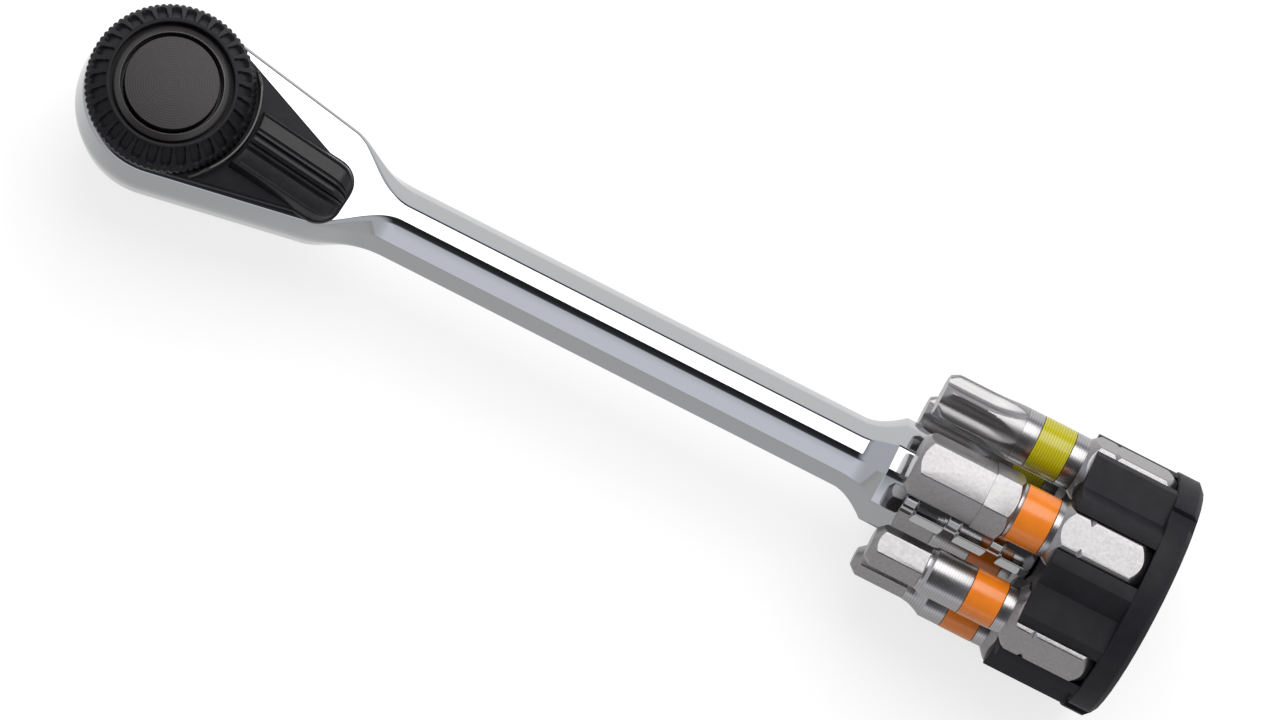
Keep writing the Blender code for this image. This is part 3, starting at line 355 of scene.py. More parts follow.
def turned(profile, count=ROUND):
    """A turned shape from its half section of (radius, height)."""
    angles = steps(0, 2 * math.pi, count)[:-1]
    rows = [[(r * math.cos(a), r * math.sin(a), height) for a in angles] for r, height in profile]
    return closed_up(skin(rows, True))


def block(low, high):
    bm = bmesh.new()
    low, high = Vector(low), Vector(high)
    place = Matrix.Translation((low + high) / 2) @ Matrix.Diagonal((*(high - low), 1))
    bmesh.ops.create_cube(bm, size=1, matrix=place)
    return bm


def six_sided(flats, low, high, edge=SHANK_EDGE, turn=0.0):
    """A hexagon bar along Z with its long edges slightly rounded."""
    bm = bmesh.new()
    radius = flats / math.sqrt(3)
    place = Matrix.Translation((0, 0, (low + high) / 2)) @ Matrix.Rotation(turn, 4, "Z")
    bmesh.ops.create_cone(
        bm, cap_ends=True, segments=6, radius1=radius, radius2=radius, depth=high - low, matrix=place
    )
    long_edges = [e for e in bm.edges if abs(e.verts[0].co.z - e.verts[1].co.z) > 0.1]
    soften_edges(bm, long_edges, edge, 3)
    return bm


def soften_edges(bm, edges, offset, segments):
    bmesh.ops.bevel(
        bm,
        geom=edges,
        offset=offset,
        offset_type="OFFSET",
        segments=segments,
        profile=0.5,
        affect="EDGES",
        clamp_overlap=True,
        material=-1,
    )


def merged(*shapes):
    """Several shapes held in one mesh."""
    whole = shapes[0]
    for bm in shapes[1:]:
        mesh = bpy.data.meshes.new("part")
        bm.to_mesh(mesh)
        bm.free()
        whole.from_mesh(mesh)
        bpy.data.meshes.remove(mesh)
    return whole


def carved(shape, tool, operation):
    """The first shape with the second taken off it, added to it, or kept in common with it."""
    stock = [bpy.data.objects.new("stock", bpy.data.meshes.new("stock")) for _ in range(2)]
    for obj, bm in zip(stock, (shape, tool)):
        bm.to_mesh(obj.data)
        bm.free()
        bpy.context.scene.collection.objects.link(obj)
    modifier = stock[0].modifiers.new("carved", "BOOLEAN")
    modifier.operation = operation
    modifier.object = stock[1]
    modifier.solver = "EXACT"
    graph = bpy.context.evaluated_depsgraph_get()
    result = bmesh.new()
    result.from_mesh(stock[0].evaluated_get(graph).to_mesh())
    for obj in stock:
        bpy.data.meshes.remove(obj.data)
    return result


def copy_of(node):
    """A CAD node's own mesh, merged, in its flat faces."""
    bm = bmesh.new()
    bm.from_mesh(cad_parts[node].data)
    bmesh.ops.remove_doubles(bm, verts=bm.verts, dist=WELD * MM)
    bmesh.ops.dissolve_limit(bm, angle_limit=IN_PLANE, verts=bm.verts, edges=bm.edges)
    bmesh.ops.recalc_face_normals(bm, faces=bm.faces)
    return bm


def softened(node, radius, segments=2):
    """A CAD node with its hard edges rounded."""
    bm = copy_of(node)
    hard = [e for e in bm.edges if e.is_manifold and e.calc_face_angle() > SHARP]
    soften_edges(bm, hard, radius * MM, segments)
    bmesh.ops.recalc_face_normals(bm, faces=bm.faces)
    return bm


def add_piece(name, bm, finish, body, nodes, place=TO_FRAME, sharp=SHARP):
    """One finished piece, in place, that rides on a body and stands for its CAD nodes."""
    bmesh.ops.transform(bm, matrix=place, verts=bm.verts)
    mesh = bpy.data.meshes.new(name)
    bm.to_mesh(mesh)
    bm.free()
    mesh.shade_smooth()
    mesh.set_sharp_from_angle(angle=sharp)
    mesh.materials.append(finish)
    piece = bpy.data.objects.new(name, mesh)
    bpy.context.scene.collection.objects.link(piece)
    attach(piece, body)
    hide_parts(*nodes)
    return piece


# Finishes


def new_finish(name, colour, metallic, roughness):
    """A finish with its plain values on the shader, ready for its surface detail."""
    material = bpy.data.materials.new(name)
    material.use_nodes = True
    shader = material.node_tree.nodes["Principled BSDF"]
    shader.inputs["Base Color"].default_value = (*colour, 1)
    shader.inputs["Metallic"].default_value = metallic
    shader.inputs["Roughness"].default_value = roughness
    return material


def node(material, kind, **inputs):
    made = material.node_tree.nodes.new(kind)
    for name, value in inputs.items():
        made.inputs[name.replace("_", " ")].default_value = value
    return made


def link(material, source, target):
    material.node_tree.links.new(source, target)


def object_place(material, centre=(0, 0, 0), scale=(1, 1, 1)):
    """Object coordinates moved to a centre and stretched."""
    coordinates = node(material, "ShaderNodeTexCoord")
    mapping = node(material, "ShaderNodeMapping")
    mapping.vector_type = "POINT"
    mapping.inputs["Location"].default_value = [-c * s for c, s in zip(centre, scale)]
    mapping.inputs["Scale"].default_value = scale
    link(material, coordinates.outputs["Object"], mapping.inputs["Vector"])
    return mapping.outputs["Vector"]


def grain(material, place, scale, detail=3.0):
    noise = node(material, "ShaderNodeTexNoise", Scale=scale, Detail=detail)
    link(material, place, noise.inputs["Vector"])
    return noise.outputs["Fac"]


def shader_of(material):
    return material.node_tree.nodes["Principled BSDF"]


def vary_roughness(material, pattern, low, high):
    spread = node(material, "ShaderNodeMapRange", To_Min=low, To_Max=high)
    link(material, pattern, spread.inputs["Value"])
    link(material, spread.outputs["Result"], shader_of(material).inputs["Roughness"])


def vary_colour(material, pattern, dark, light):
    ramp = material.node_tree.nodes.new("ShaderNodeValToRGB")
    ramp.color_ramp.elements[0].position = 0.3
    ramp.color_ramp.elements[0].color = (*dark, 1)
    ramp.color_ramp.elements[1].position = 0.7
    ramp.color_ramp.elements[1].color = (*light, 1)
    link(material, pattern, ramp.inputs["Fac"])
    link(material, ramp.outputs["Color"], shader_of(material).inputs["Base Color"])


def raise_surface(material, pattern, strength, depth, under=None):
    """Adds relief of a depth in millimetres, over any relief already made."""
    bump = node(material, "ShaderNodeBump", Strength=strength, Distance=depth * MM)
    link(material, pattern, bump.inputs["Height"])
    if under:
        link(material, under, bump.inputs["Normal"])
    link(material, bump.outputs["Normal"], shader_of(material).inputs["Normal"])
    return bump.outputs["Normal"]


def turned_lines(material, place, kind, direction, scale, distortion=0.4):
    """Fine tool marks: bands along an axis, or rings about it."""
    wave = node(material, "ShaderNodeTexWave", Scale=scale, Distortion=distortion, Detail=2.0)
    wave.wave_type = kind
    if kind == "BANDS":
        wave.bands_direction = direction
    else:
        wave.rings_direction = direction
    link(material, place, wave.inputs["Vector"])
    return wave.outputs["Fac"]


def polished_chrome():
    material = new_finish("polished_chrome", (0.41, 0.413, 0.424), 1.0, 0.05)
    place = object_place(material)
    vary_roughness(material, grain(material, place, 140), 0.035, 0.08)
    raise_surface(material, grain(material, place, 420, 2.0), 0.05, 0.05)
    return material


def tool_steel():
    material = new_finish("tool_steel", (0.42, 0.42, 0.43), 1.0, 0.32)
    place = object_place(material)
    vary_colour(material, grain(material, place, 900), (0.36, 0.36, 0.37), (0.47, 0.47, 0.48))
    vary_roughness(material, grain(material, place, 2400), 0.26, 0.42)
    return material


def spring_steel():
    material = new_finish("spring_steel", (0.2, 0.2, 0.22), 1.0, 0.38)
    place = object_place(material)
    vary_roughness(material, grain(material, place, 3000), 0.3, 0.48)
    return material


def satin_nickel():
    material = new_finish("satin_nickel", (0.293, 0.283, 0.285), 1.0, 0.3)
    place = object_place(material)
    vary_colour(material, grain(material, place, 3200), (0.267, 0.257, 0.259), (0.32, 0.31, 0.312))
    vary_roughness(material, grain(material, place, 2600), 0.24, 0.36)
    raise_surface(material, grain(material, place, 5200), 0.3, 0.02)
    return material


def bright_nickel():
    """The smoother nickel of the lobed tips, drawn along their length."""
    material = new_finish("bright_nickel", (0.32, 0.31, 0.31), 1.0, 0.36)
    place = object_place(material, scale=(0.08, 1, 1))
    vary_colour(material, grain(material, place, 2600), (0.3, 0.29, 0.29), (0.34, 0.33, 0.33))
    vary_roughness(material, grain(material, place, 1800), 0.32, 0.4)
    raise_surface(material, grain(material, place, 4200), 0.06, 0.01)
    return material


def turned_nickel():
    """Bright nickel with the lathe's fine rings round each bit's neck."""
    material = new_finish("turned_nickel", (0.38, 0.37, 0.37), 1.0, 0.3)
    place = object_place(material)
    rings = turned_lines(material, place, "BANDS", "X", 1120)
    vary_colour(material, rings, (0.34, 0.33, 0.33), (0.42, 0.41, 0.41))
    vary_roughness(material, grain(material, place, 2600), 0.26, 0.36)
    raise_surface(material, rings, 0.12, 0.02)
    return material


def moulded_black(name, shine, roughness):
    material = new_finish(name, (0.011, 0.01, 0.012), 0.0, roughness)
    shader_of(material).inputs["Specular IOR Level"].default_value = shine
    place = object_place(material)
    vary_colour(material, grain(material, place, 700), (0.009, 0.008, 0.0098), (0.0135, 0.012, 0.0145))
    vary_roughness(material, grain(material, place, 1500), roughness - 0.06, roughness + 0.08)
    raise_surface(material, grain(material, place, 4200), 0.16, 0.02)
    return material


def satin_black_and_rim_highlight():
    """The smoother, lighter black of the rings round the dial and its disc; on the lever's rim, moulded in
    one with the lever's black, the lighter colour is a painted highlight.
    """
    material = new_finish("satin_black_and_rim_highlight", (0.032, 0.0285, 0.029), 0.0, 0.24)
    place = object_place(material, (drive_axis, 0, handle_line))
    rings = turned_lines(material, place, "RINGS", "Z", 1100, 0.1)
    vary_roughness(material, grain(material, place, 1500), 0.18, 0.3)
    raise_surface(material, rings, 0.12, 0.02)
    return material


def spun_disc():
    material = new_finish("spun_disc", (0.027, 0.024, 0.0256), 0.5, 0.42)
    place = object_place(material, (drive_axis, 0, handle_line))
    rings = turned_lines(material, place, "RINGS", "Z", 1200, 0.1)
    vary_colour(material, rings, (0.023, 0.0204, 0.0216), (0.0304, 0.0268, 0.0284))
    vary_roughness(material, grain(material, place, 1800), 0.36, 0.46)
    raise_surface(material, rings, 0.16, 0.02)
    return material


def matte_black():
    material = new_finish("matte_black", (0.014, 0.0125, 0.016), 0.0, 0.55)
    shader_of(material).inputs["Specular IOR Level"].default_value = 0.2
    place = object_place(material)
    vary_colour(material, grain(material, place, 500), (0.0115, 0.0102, 0.0132), (0.0165, 0.0148, 0.0188))
    vary_roughness(material, grain(material, place, 1100), 0.48, 0.64)
    raise_surface(material, grain(material, place, 6000, 5.0), 0.35, 0.03)
    return material


def ring_rubber():
    material = new_finish("ring_rubber", (0.02, 0.02, 0.021), 0.0, 0.7)
    place = object_place(material)
    vary_roughness(material, grain(material, place, 2500), 0.62, 0.8)
    return material


def band_paint(name, colour, painted_ring_shade):
    """A painted band; where it has painted ring shade, the lathe's rings show through it in relief, with
    painted shade darkening their grooves.
    """
    material = new_finish(name, colour, 0.0, 0.26)
    shader_of(material).inputs["Coat Weight"].default_value = 0.2
    shader_of(material).inputs["Coat Roughness"].default_value = 0.12
    place = object_place(material)
    lines = turned_lines(material, place, "BANDS", "X", 1120)
    # Painted shade darkens the ring grooves of a band with painted ring shade; other bands only vary in tone
    # at random
    pattern, groove_shade_and_tone = (lines, 0.68) if painted_ring_shade else (grain(material, place, 900), 0.9)
    vary_colour(material, pattern, [c * groove_shade_and_tone for c in colour], colour)
    raise_surface(material, lines, 0.12, 0.02)
    return material


CHROME = polished_chrome()
STEEL = tool_steel()
SPRING = spring_steel()
NICKEL = satin_nickel()
TURNED = turned_nickel()
BRIGHT = bright_nickel()
BLACK = moulded_black("moulded_black", 0.12, 0.36)
GRIP_BLACK = moulded_black("polished_black", 0.26, 0.28)
# On the lever's rim this lighter black is a painted highlight
SATIN_BLACK_AND_RIM_HIGHLIGHT = satin_black_and_rim_highlight()
DISC = spun_disc()
HOLDER = matte_black()
RUBBER = ring_rubber()
ORANGE = band_paint("orange_band", (0.9, 0.235, 0.012), False)
# The lime band's ring grooves get painted shade
LIME = band_paint("lime_band", (0.6, 0.54, 0.005), True)


# Chromed forging


def head_half_width(x):
    """Half width of the head's straight sides at its parting line."""
    tangent = math.pi / 2 - HEAD_TAPER
    return HEAD_RADIUS * math.sin(tangent) - math.tan(HEAD_TAPER) * (x - HEAD_RADIUS * math.cos(tangent))


def section_row(corners, setbacks):
    """Half a section, from its top line to its bottom line, with every corner eased."""
    top, bottom = Vector(corners[0]), Vector(corners[-1])
    left_of_top = (-corners[1][0], corners[1][1])
    left_of_bottom = (-corners[-2][0], corners[-2][1])
    row = bend(left_of_top, top, corners[1], setbacks[0], (0.5, 0.75, 1.0))
    for i in range(1, len(corners) - 1):
        row += bend(corners[i - 1], corners[i], corners[i + 1], setbacks[i], steps(0, 1, 5))
    return row + bend(corners[-2], bottom, left_of_bottom, setbacks[-1], (0.0, 0.25, 0.5))


def both_halves(upper):
    return upper + [(y, -z) for y, z in reversed(upper[:-1])]


def head_corners(girth, inset, edge):
    top = girth - inset
    return both_halves([(0, HEAD_RISE), (top, HEAD_RISE), (top + edge, HEAD_RISE - HEAD_EDGE), (girth, 0)])


def handle_corners():
    return both_halves(
        [(0, HANDLE_RISE), (HANDLE_FLAT, HANDLE_RISE), (HANDLE_BEVEL, HANDLE_BEVEL_RISE), (HANDLE_GIRTH, 0)]
    )


def collar_corners():
    return both_halves(
        [(0, COLLAR_RISE), (COLLAR_FLAT, COLLAR_RISE), (COLLAR_BEVEL, COLLAR_BEVEL_RISE), (COLLAR_GIRTH, 0)]
    )


def blended(first, second, t):
    return [mix(a, b, t) for a, b in zip(first, second)]


def front_row(angle):
    """A row on the head's round front, standing on a line out from the drive axis."""
    row = section_row(head_corners(HEAD_RADIUS, HEAD_DRAFT, HEAD_EDGE), HEAD_EASE)
    return [(y * math.cos(angle), y * math.sin(angle), z) for y, z in row]


def between(start, end, start_ease, end_ease, flow):
    """Half a section part of the way from one section to another."""
    corners = [tuple(blended(a, b, flow)) for a, b in zip(start, end)]
    return section_row(corners, blended(start_ease, end_ease, flow))


def neck_row(x):
    flow = ease(NECK_START, NECK_END, x)
    slant = math.cos(HEAD_TAPER)
    start = head_corners(head_half_width(x), HEAD_DRAFT / slant, HEAD_EDGE / slant)
    return [(x, y, z) for y, z in between(start, handle_corners(), HEAD_EASE, HANDLE_EASE, flow)]


def flare_row(x, flow, size=1.0):
    """A row between the handle's bar and its collar, which has the same ten sides."""
    row = between(handle_corners(), collar_corners(), HANDLE_EASE, COLLAR_EASE, flow)
    return [(x, y * size, z * size) for y, z in row]


def forging():
    tangent = math.pi / 2 - HEAD_TAPER
    straight = HEAD_RADIUS * math.cos(tangent)
    rows = [front_row(angle) for angle in steps(math.pi, tangent, 30)]
    rows += [neck_row(x) for x in steps(straight, NECK_START, 8) + steps(NECK_START, NECK_END, 40)[1:]]
    rows += [flare_row(x, 0) for x in steps(NECK_END, HANDLE_END, 12)[1:]]
    shares = steps(0, FLARE_SHARE, 24)
    flare = [(mix(HANDLE_END, COLLAR_START, along), along**FLARE_CURVE) for along in shares]
    crest = bend(flare[-1], (COLLAR_START, 1.0), (COLLAR_END, 1.0), CREST_EASE, steps(0, 1, 4))
    rows += [flare_row(x, flow) for x, flow in flare[1:] + crest]
    rows += [flare_row(COLLAR_END - back, 1, size) for back, size in COLLAR_EDGE]
    bm = skin(rows)
    bmesh.ops.remove_doubles(bm, verts=bm.verts, dist=WELD)
    bmesh.ops.mirror(bm, geom=bm.verts[:] + bm.edges[:] + bm.faces[:], merge_dist=WELD, axis="Y")
    return closed_up(bm)


def gear_bore():
    """The gear's room, with the groove of the retaining ring and a lip at its mouth."""
    floor = -HEAD_RISE
    return turned(
        [
            (0, ROOF_UNDER),
            (GEAR_BORE, ROOF_UNDER),
            (GEAR_BORE, RING_TOP),
            (RING_BORE, RING_TOP),
            (RING_BORE, RING_LOW),
            (GEAR_BORE, RING_LOW),
            (GEAR_BORE, floor + BORE_LIP),
            (GEAR_BORE + BORE_LIP, floor),
            (GEAR_BORE + 2 * BORE_LIP, floor - 1),
            (0, floor - 1),
        ]
    )


def pin_hole():
    floor = -HEAD_RISE
    hole = turned(
        [
            (0, PIN_TOP),
            (PIN_HOLE, PIN_TOP),
            (PIN_HOLE, floor + PIN_LIP),
            (PIN_HOLE + PIN_LIP, floor),
            (PIN_HOLE + 2 * PIN_LIP, floor - 1),
            (0, floor - 1),
        ],
        PIN_ROUND,
    )
    bmesh.ops.translate(hole, vec=(PIN_PLACE, 0, 0), verts=hole.verts)
    return hole


def journal_hole():
    low, high = JOURNAL_LOW, JOURNAL_HIGH
    return turned([(0, low), (JOURNAL_HOLE, low), (JOURNAL_HOLE, high), (0, high)])


def tail_bar():
    """The grooved hexagon tail: a turned rod, cut to its six sides."""
    inset, height = TAIL_CHAMFER
    profile = [(0, TAIL_LENGTH), (TAIL_OVER - inset, TAIL_LENGTH), (TAIL_OVER, TAIL_LENGTH - height)]
    for middle in reversed(GROOVES):
        profile += [
            (TAIL_OVER, middle + GROOVE_MOUTH_HALF),
            (GROOVE_FLOOR, middle + GROOVE_FLOOR_HALF),
            (GROOVE_FLOOR, middle - GROOVE_FLOOR_HALF),
            (TAIL_OVER, middle - GROOVE_MOUTH_HALF),
        ]
    profile += [(TAIL_OVER, -TAIL_SUNK), (0, -TAIL_SUNK)]
    stock = six_sided(HEX_FLATS, -TAIL_SUNK - 1, TAIL_LENGTH + 1, TAIL_EDGE, math.pi / 6)
    return carved(turned(eased(profile, TAIL_EASE, 3)), stock, "INTERSECT")


def rubber_ring():
    """The ring in the tail's last groove, rounded on its outer side."""
    middle = GROOVES[-1]
    foot = (RUBBER_INNER, middle - RUBBER_INNER_HALF)
    bulge = []
    for angle in steps(-math.pi / 2, math.pi / 2, 10):
        bulge.append((RUBBER_SIDE + RUBBER_BULGE * math.cos(angle), middle + RUBBER_HALF * math.sin(angle)))
    return turned([foot, *bulge, foot])


def make_body():
    body = forging()
    for room in (gear_bore(), journal_hole(), block(*PAWL_POCKET), block(*POST_SLOT), pin_hole()):
        body = carved(body, room, "DIFFERENCE")
    add_piece("forged_body", body, CHROME, "body", ["ratchet_body"])

    along_x = Matrix.Translation((TAIL_ROOT, 0, 0)) @ Matrix.Rotation(math.pi / 2, 4, "Y")
    add_piece("tail_bar", tail_bar(), CHROME, "body", ["ratchet_body"], TO_FRAME @ along_x)
    add_piece("tail_ring", rubber_ring(), RUBBER, "body", ["tail_o_ring"], TO_FRAME @ along_x)


# Thumb dial and its cap


def pocket_depth(radius, angle):
    """How far the dial's bevel is sunk at a place, by its rounded finger pockets."""
    pitch = 2 * math.pi / POCKETS
    off = (angle + pitch / 2) % pitch - pitch / 2
    out = radius * math.cos(off) - (POCKET_START + POCKET_REACH) / 2
    side = radius * math.sin(off)
    corner = POCKET_OUTER_CORNER if out > 0 else POCKET_INNER_CORNER
    a = max(abs(out) - (POCKET_REACH - POCKET_START) / 2 + corner, 0)
    b = max(abs(side) - POCKET_HALF + corner, 0)
    return POCKET_DEPTH * ease(POCKET_WALL_HALF, -POCKET_WALL_HALF, math.hypot(a, b) - corner)


def knurl_depth(angle):
    """Rounded beads with sharp valleys between them."""
    return KNURL_DEPTH * (1 - abs(math.cos(KNURLS * angle / 2)))


def bevel_height(radius):
    return DIAL_TOP - BEVEL_SLOPE * (radius - DIAL_LAND)


def dial_outline():
    """Half section of the dial, up its knurled wall, over its bevel and down into its well."""
    rim = (DIAL_RADIUS, bevel_height(DIAL_RADIUS))
    land = (DIAL_LAND, DIAL_TOP)
    mouth = (WELL_RADIUS, DIAL_TOP)
    floor = (WELL_RADIUS, WELL_FLOOR)
    wall = [(DIAL_BORE, DIAL_LOW)] + [(radius, DIAL_LOW + rise) for radius, rise in DIAL_FOOT]
    heights = steps(DIAL_LOW + DIAL_WALL_FOOT, rim[1] - DIAL_WALL_HEAD, 3)
    wall += [(DIAL_RADIUS, height) for height in heights]
    shoulder = bend(wall[-1], rim, land, RIM_EASE, steps(0, 1, 4))
    bevel = [(radius, bevel_height(radius)) for radius in steps(BEVEL_OUTER, BEVEL_INNER, 34)]
    crest = bend(rim, land, mouth, LAND_EASE, steps(0, 1, 3))
    lip = bend(land, mouth, floor, MOUTH_EASE, steps(0, 1, 4))
    well = [floor, (DIAL_BORE, WELL_FLOOR), (DIAL_BORE, DIAL_LOW)]
    return wall + [tuple(p) for p in shoulder] + bevel + [tuple(p) for p in crest + lip] + well


def dial_body():
    normal = Vector((BEVEL_SLOPE, 1)).normalized()
    rows = []
    for radius, height in dial_outline():
        on_bevel = radius > DIAL_LAND and abs(height - bevel_height(radius)) < BEVEL_TOLERANCE
        worn = ease(KNURL_INNER, KNURL_OUTER, radius) * ease(DIAL_LOW, DIAL_LOW + KNURL_RUN, height)
        row = []
        for angle in steps(0, 2 * math.pi, KNURLS * KNURL_STEPS)[:-1]:
            sunk = pocket_depth(radius, angle) if on_bevel else 0
            reach = radius - worn * knurl_depth(angle) - sunk * normal.x
            row.append((reach * math.cos(angle), reach * math.sin(angle), height - sunk * normal.y))
        rows.append(row)
    return closed_up(skin(rows, True))


def cover_disc():
    low = DISC_FLANGE_TOP - DISC_FLANGE
    profile = [
        (0, low),
        (DISC_FLANGE_RADIUS, low),
        (DISC_FLANGE_RADIUS, DISC_FLANGE_TOP),
        (DISC_RADIUS, DISC_FLANGE_TOP),
        (DISC_RADIUS, DISC_TOP),
        (0, DISC_TOP),
    ]
    return turned(eased(profile, DISC_EASE), FINE_ROUND)


def cover_ring():
    """The ring round the disc, bevelled down and out."""
    profile = [
        (COVER_RING_INNER, COVER_RING_LOW),
        (COVER_RING_OUTER, COVER_RING_LOW),
        (COVER_RING_OUTER, DISC_TOP - COVER_RING_OUTER_DROP),
        (COVER_RING_INNER, DISC_TOP - COVER_RING_INNER_DROP),
        (COVER_RING_INNER, COVER_RING_LOW),
    ]
    return turned(eased(profile, COVER_RING_EASE), FINE_ROUND)


def make_dial():
    add_piece("thumb_dial", dial_body(), BLACK, "drive", ["dial"])
    add_piece("cover_disc", cover_disc(), DISC, "drive", ["dial_cap"])
    add_piece("cover_ring", cover_ring(), SATIN_BLACK_AND_RIM_HIGHLIGHT, "drive", ["dial_cap"])


# Selector lever


def pear(inset):
    """The lever plate's outline: a round hub, straight flaring sides and the grip's rounded end."""
    tangent = math.pi / 2 - LEVER_FLARE
    hub = [(LEVER_HUB - inset, 0, 0, angle) for angle in steps(tangent, 2 * math.pi - tangent, 64)]
    centre = LEVER_REACH - LEVER_CORNER
    side = GRIP_HALF - LEVER_CORNER
    right = [(LEVER_CORNER - inset, centre, -side, angle) for angle in steps(-math.pi / 2, 0, 10)]
    left = [(LEVER_CORNER - inset, centre, side, angle) for angle in steps(0, math.pi / 2, 10)]
    narrowing = LEVER_HUB * math.sin(tangent) - GRIP_HALF
    run = LEVER_HUB * math.cos(tangent) + narrowing / math.tan(LEVER_FLARE)
    points = [(x + r * math.cos(a), y + r * math.sin(a)) for r, x, y, a in hub]
    points.append((run, inset - GRIP_HALF))
    points += [(x + r * math.cos(a), y + r * math.sin(a)) for r, x, y, a in right + left]
    return points + [(run, GRIP_HALF - inset)]


def lever_plate():
    levels = [(inset, LEVER_LOW + rise) for inset, rise in PLATE_LOWER_EDGE]
    levels += [(inset, PLATE_TOP + rise) for inset, rise in PLATE_UPPER_EDGE]
    rows = [[(x, y, height) for x, y in pear(inset)] for inset, height in levels]
    for height in (PLATE_TOP, LEVER_LOW):
        spokes = [Vector(point).normalized() * JOURNAL_HOLE for point in pear(0)]
        rows.append([(x, y, height) for x, y in spokes])
    rows.append(rows[0])
    return closed_up(skin(rows, True))


# Half of the grip's top, from the centre rib to the edge bead, then down the side: offset and drop
RIB_OUTLINE = (
    (0.0, 0.0),
    (0.15, 0.015),
    (0.28, 0.06),
    (0.37, 0.13),
    (0.42, 0.24),
    (0.46, 0.42),
    (0.54, 0.46),
    (0.6, 0.3),
    (0.64, 0.16),
    (0.72, 0.11),
    (0.85, 0.11),
    (0.93, 0.14),
    (0.98, 0.27),
    (1.02, 0.42),
    (1.1, 0.45),
    (1.18, 0.38),
    (1.26, 0.31),
    (1.8, 0.3),
    (2.3, 0.3),
    (2.56, 0.29),
    (2.66, 0.22),
    (2.76, 0.17),
    (2.86, 0.2),
    (2.95, 0.32),
    (3.04, 0.6),
)


def dial_side(y):
    """Where the grip's inner end follows the dial, at a place across it."""
    return math.sqrt(GRIP_INNER**2 - y * y)


def grip_top(x):
    return GRIP_TOP - GRIP_FALL * (x - GRIP_INNER)


def grip_row(top, back=0.0, share=0.0, end=0.0):
    """A row of points across the grip, a share of the way from the dial's side to its end."""
    side = [(offset, top - drop - GRIP_CROWN * offset**2) for offset, drop in RIB_OUTLINE]
    edge, shoulder = side[-1]
    for down in steps(0, 1, 5)[1:]:
        side.append((mix(edge, GRIP_SKIRT, down), mix(shoulder, GRIP_FOOT, down)))
    half = [(mix(dial_side(y) + back, end, share), y, max(z, GRIP_FOOT)) for y, z in side]
    other = [(x, -y, z) for x, y, z in reversed(half[1:])]
    return other + half


def lever_grip():
    roll_start = GRIP_END - GRIP_ROLL
    first = grip_row(GRIP_TOP)
    rows = [[(x, y, GRIP_FOOT) for x, y, z in first]]
    for back, drop in GRIP_INNER_EDGE:
        rows.append([(x + back, y, max(z - drop, GRIP_FOOT)) for x, y, z in first])
    for share in steps(0, 1, 14)[1:]:
        top = grip_top(mix(GRIP_INNER, roll_start, share))
        rows.append(grip_row(top, GRIP_INNER_EDGE[-1][0], share, roll_start))
    for turn in steps(0, math.pi / 2, 14)[1:]:
        x = roll_start + GRIP_ROLL * math.sin(turn)
        drop = GRIP_ROLL * (1 - math.cos(turn))
        rows.append(grip_row(grip_top(x) - drop, share=1.0, end=x))
    bm = skin(rows)
    for vert in bm.verts:
        past = max(vert.co.x - (LEVER_REACH - LEVER_CORNER), 0.0)
        width = GRIP_HALF - LEVER_CORNER + math.sqrt(max(LEVER_CORNER**2 - past**2, 0))
        vert.co.y *= width / GRIP_HALF
    return closed_up(bm)


def lever_lip():
    """The low wall that the lever's hub raises round the dial, lower at its two ends."""
    reach = math.pi / 2 - LEVER_FLARE - math.acos(LEVER_HUB / LIP_OUTER)
    rows = []
    for angle in steps(-reach, reach, 48):
        height = LIP_RISE * mix(LIP_END_SHARE, 1, ease(reach, LIP_FULL_SHARE * reach, abs(angle)))
        row = []
        for out, share in LIP_SECTION:
            radius = LIP_INNER + out
            z = mix(LIP_FOOT, PLATE_TOP + height, share)
            row.append((radius * math.cos(angle), radius * math.sin(angle), z))
        rows.append(row)
    return closed_up(skin(rows, True))


def lever_post():
    """The post under the lever, bored for the plunger."""
    post = block(*POST)
    soften_edges(post, post.edges[:], POST_EDGE, 2)
    start, end = PLUNGER_BORE_START, PLUNGER_BORE_END
    bore = turned([(0, start), (PLUNGER_BORE, start), (PLUNGER_BORE, end), (0, end)], PIN_ROUND)
    along_x = Matrix.Translation((0, 0, PLUNGER_RISE)) @ Matrix.Rotation(math.pi / 2, 4, "Y")
    bmesh.ops.transform(bore, matrix=along_x, verts=bore.verts)
    return carved(post, closed_up(bore), "DIFFERENCE")


def spring_coil():
    """The plunger's spring: round wire along a helix in the post's bore."""
    rows = []
    for along in steps(0, 1, SPRING_TURNS * 24):
        angle = 2 * math.pi * SPRING_TURNS * along
        x = mix(SPRING_START + WIRE_RADIUS, SPRING_END - WIRE_RADIUS, along)
        row = []
        for turn in steps(0, 2 * math.pi, 10)[:-1]:
            out = SPRING_RADIUS + WIRE_RADIUS * math.cos(turn)
            rise = PLUNGER_RISE + out * math.sin(angle)
            row.append((x + WIRE_RADIUS * math.sin(turn), out * math.cos(angle), rise))
        rows.append(row)
    return closed_up(skin(rows, True))


def make_lever():
    place = TO_FRAME @ Matrix.Rotation(LEVER_TURN, 4, "Z")
    node_names = ["selector_lever"]
    plate = merged(lever_plate(), lever_post())
    add_piece("lever_plate", plate, BLACK, "lever", node_names, place)
    # Painted highlight: the rim is the lever's own black moulding, given the lighter satin black so that it
    # reads as lit
    add_piece("lever_rim_painted_highlight", lever_lip(), SATIN_BLACK_AND_RIM_HIGHLIGHT, "lever", node_names, place)
    add_piece("lever_thumbpiece", lever_grip(), GRIP_BLACK, "lever", node_names, place)

    coil = add_piece("plunger_coil", spring_coil(), SPRING, "lever", ["plunger_spring"], place)
    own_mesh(coil)


# Bits

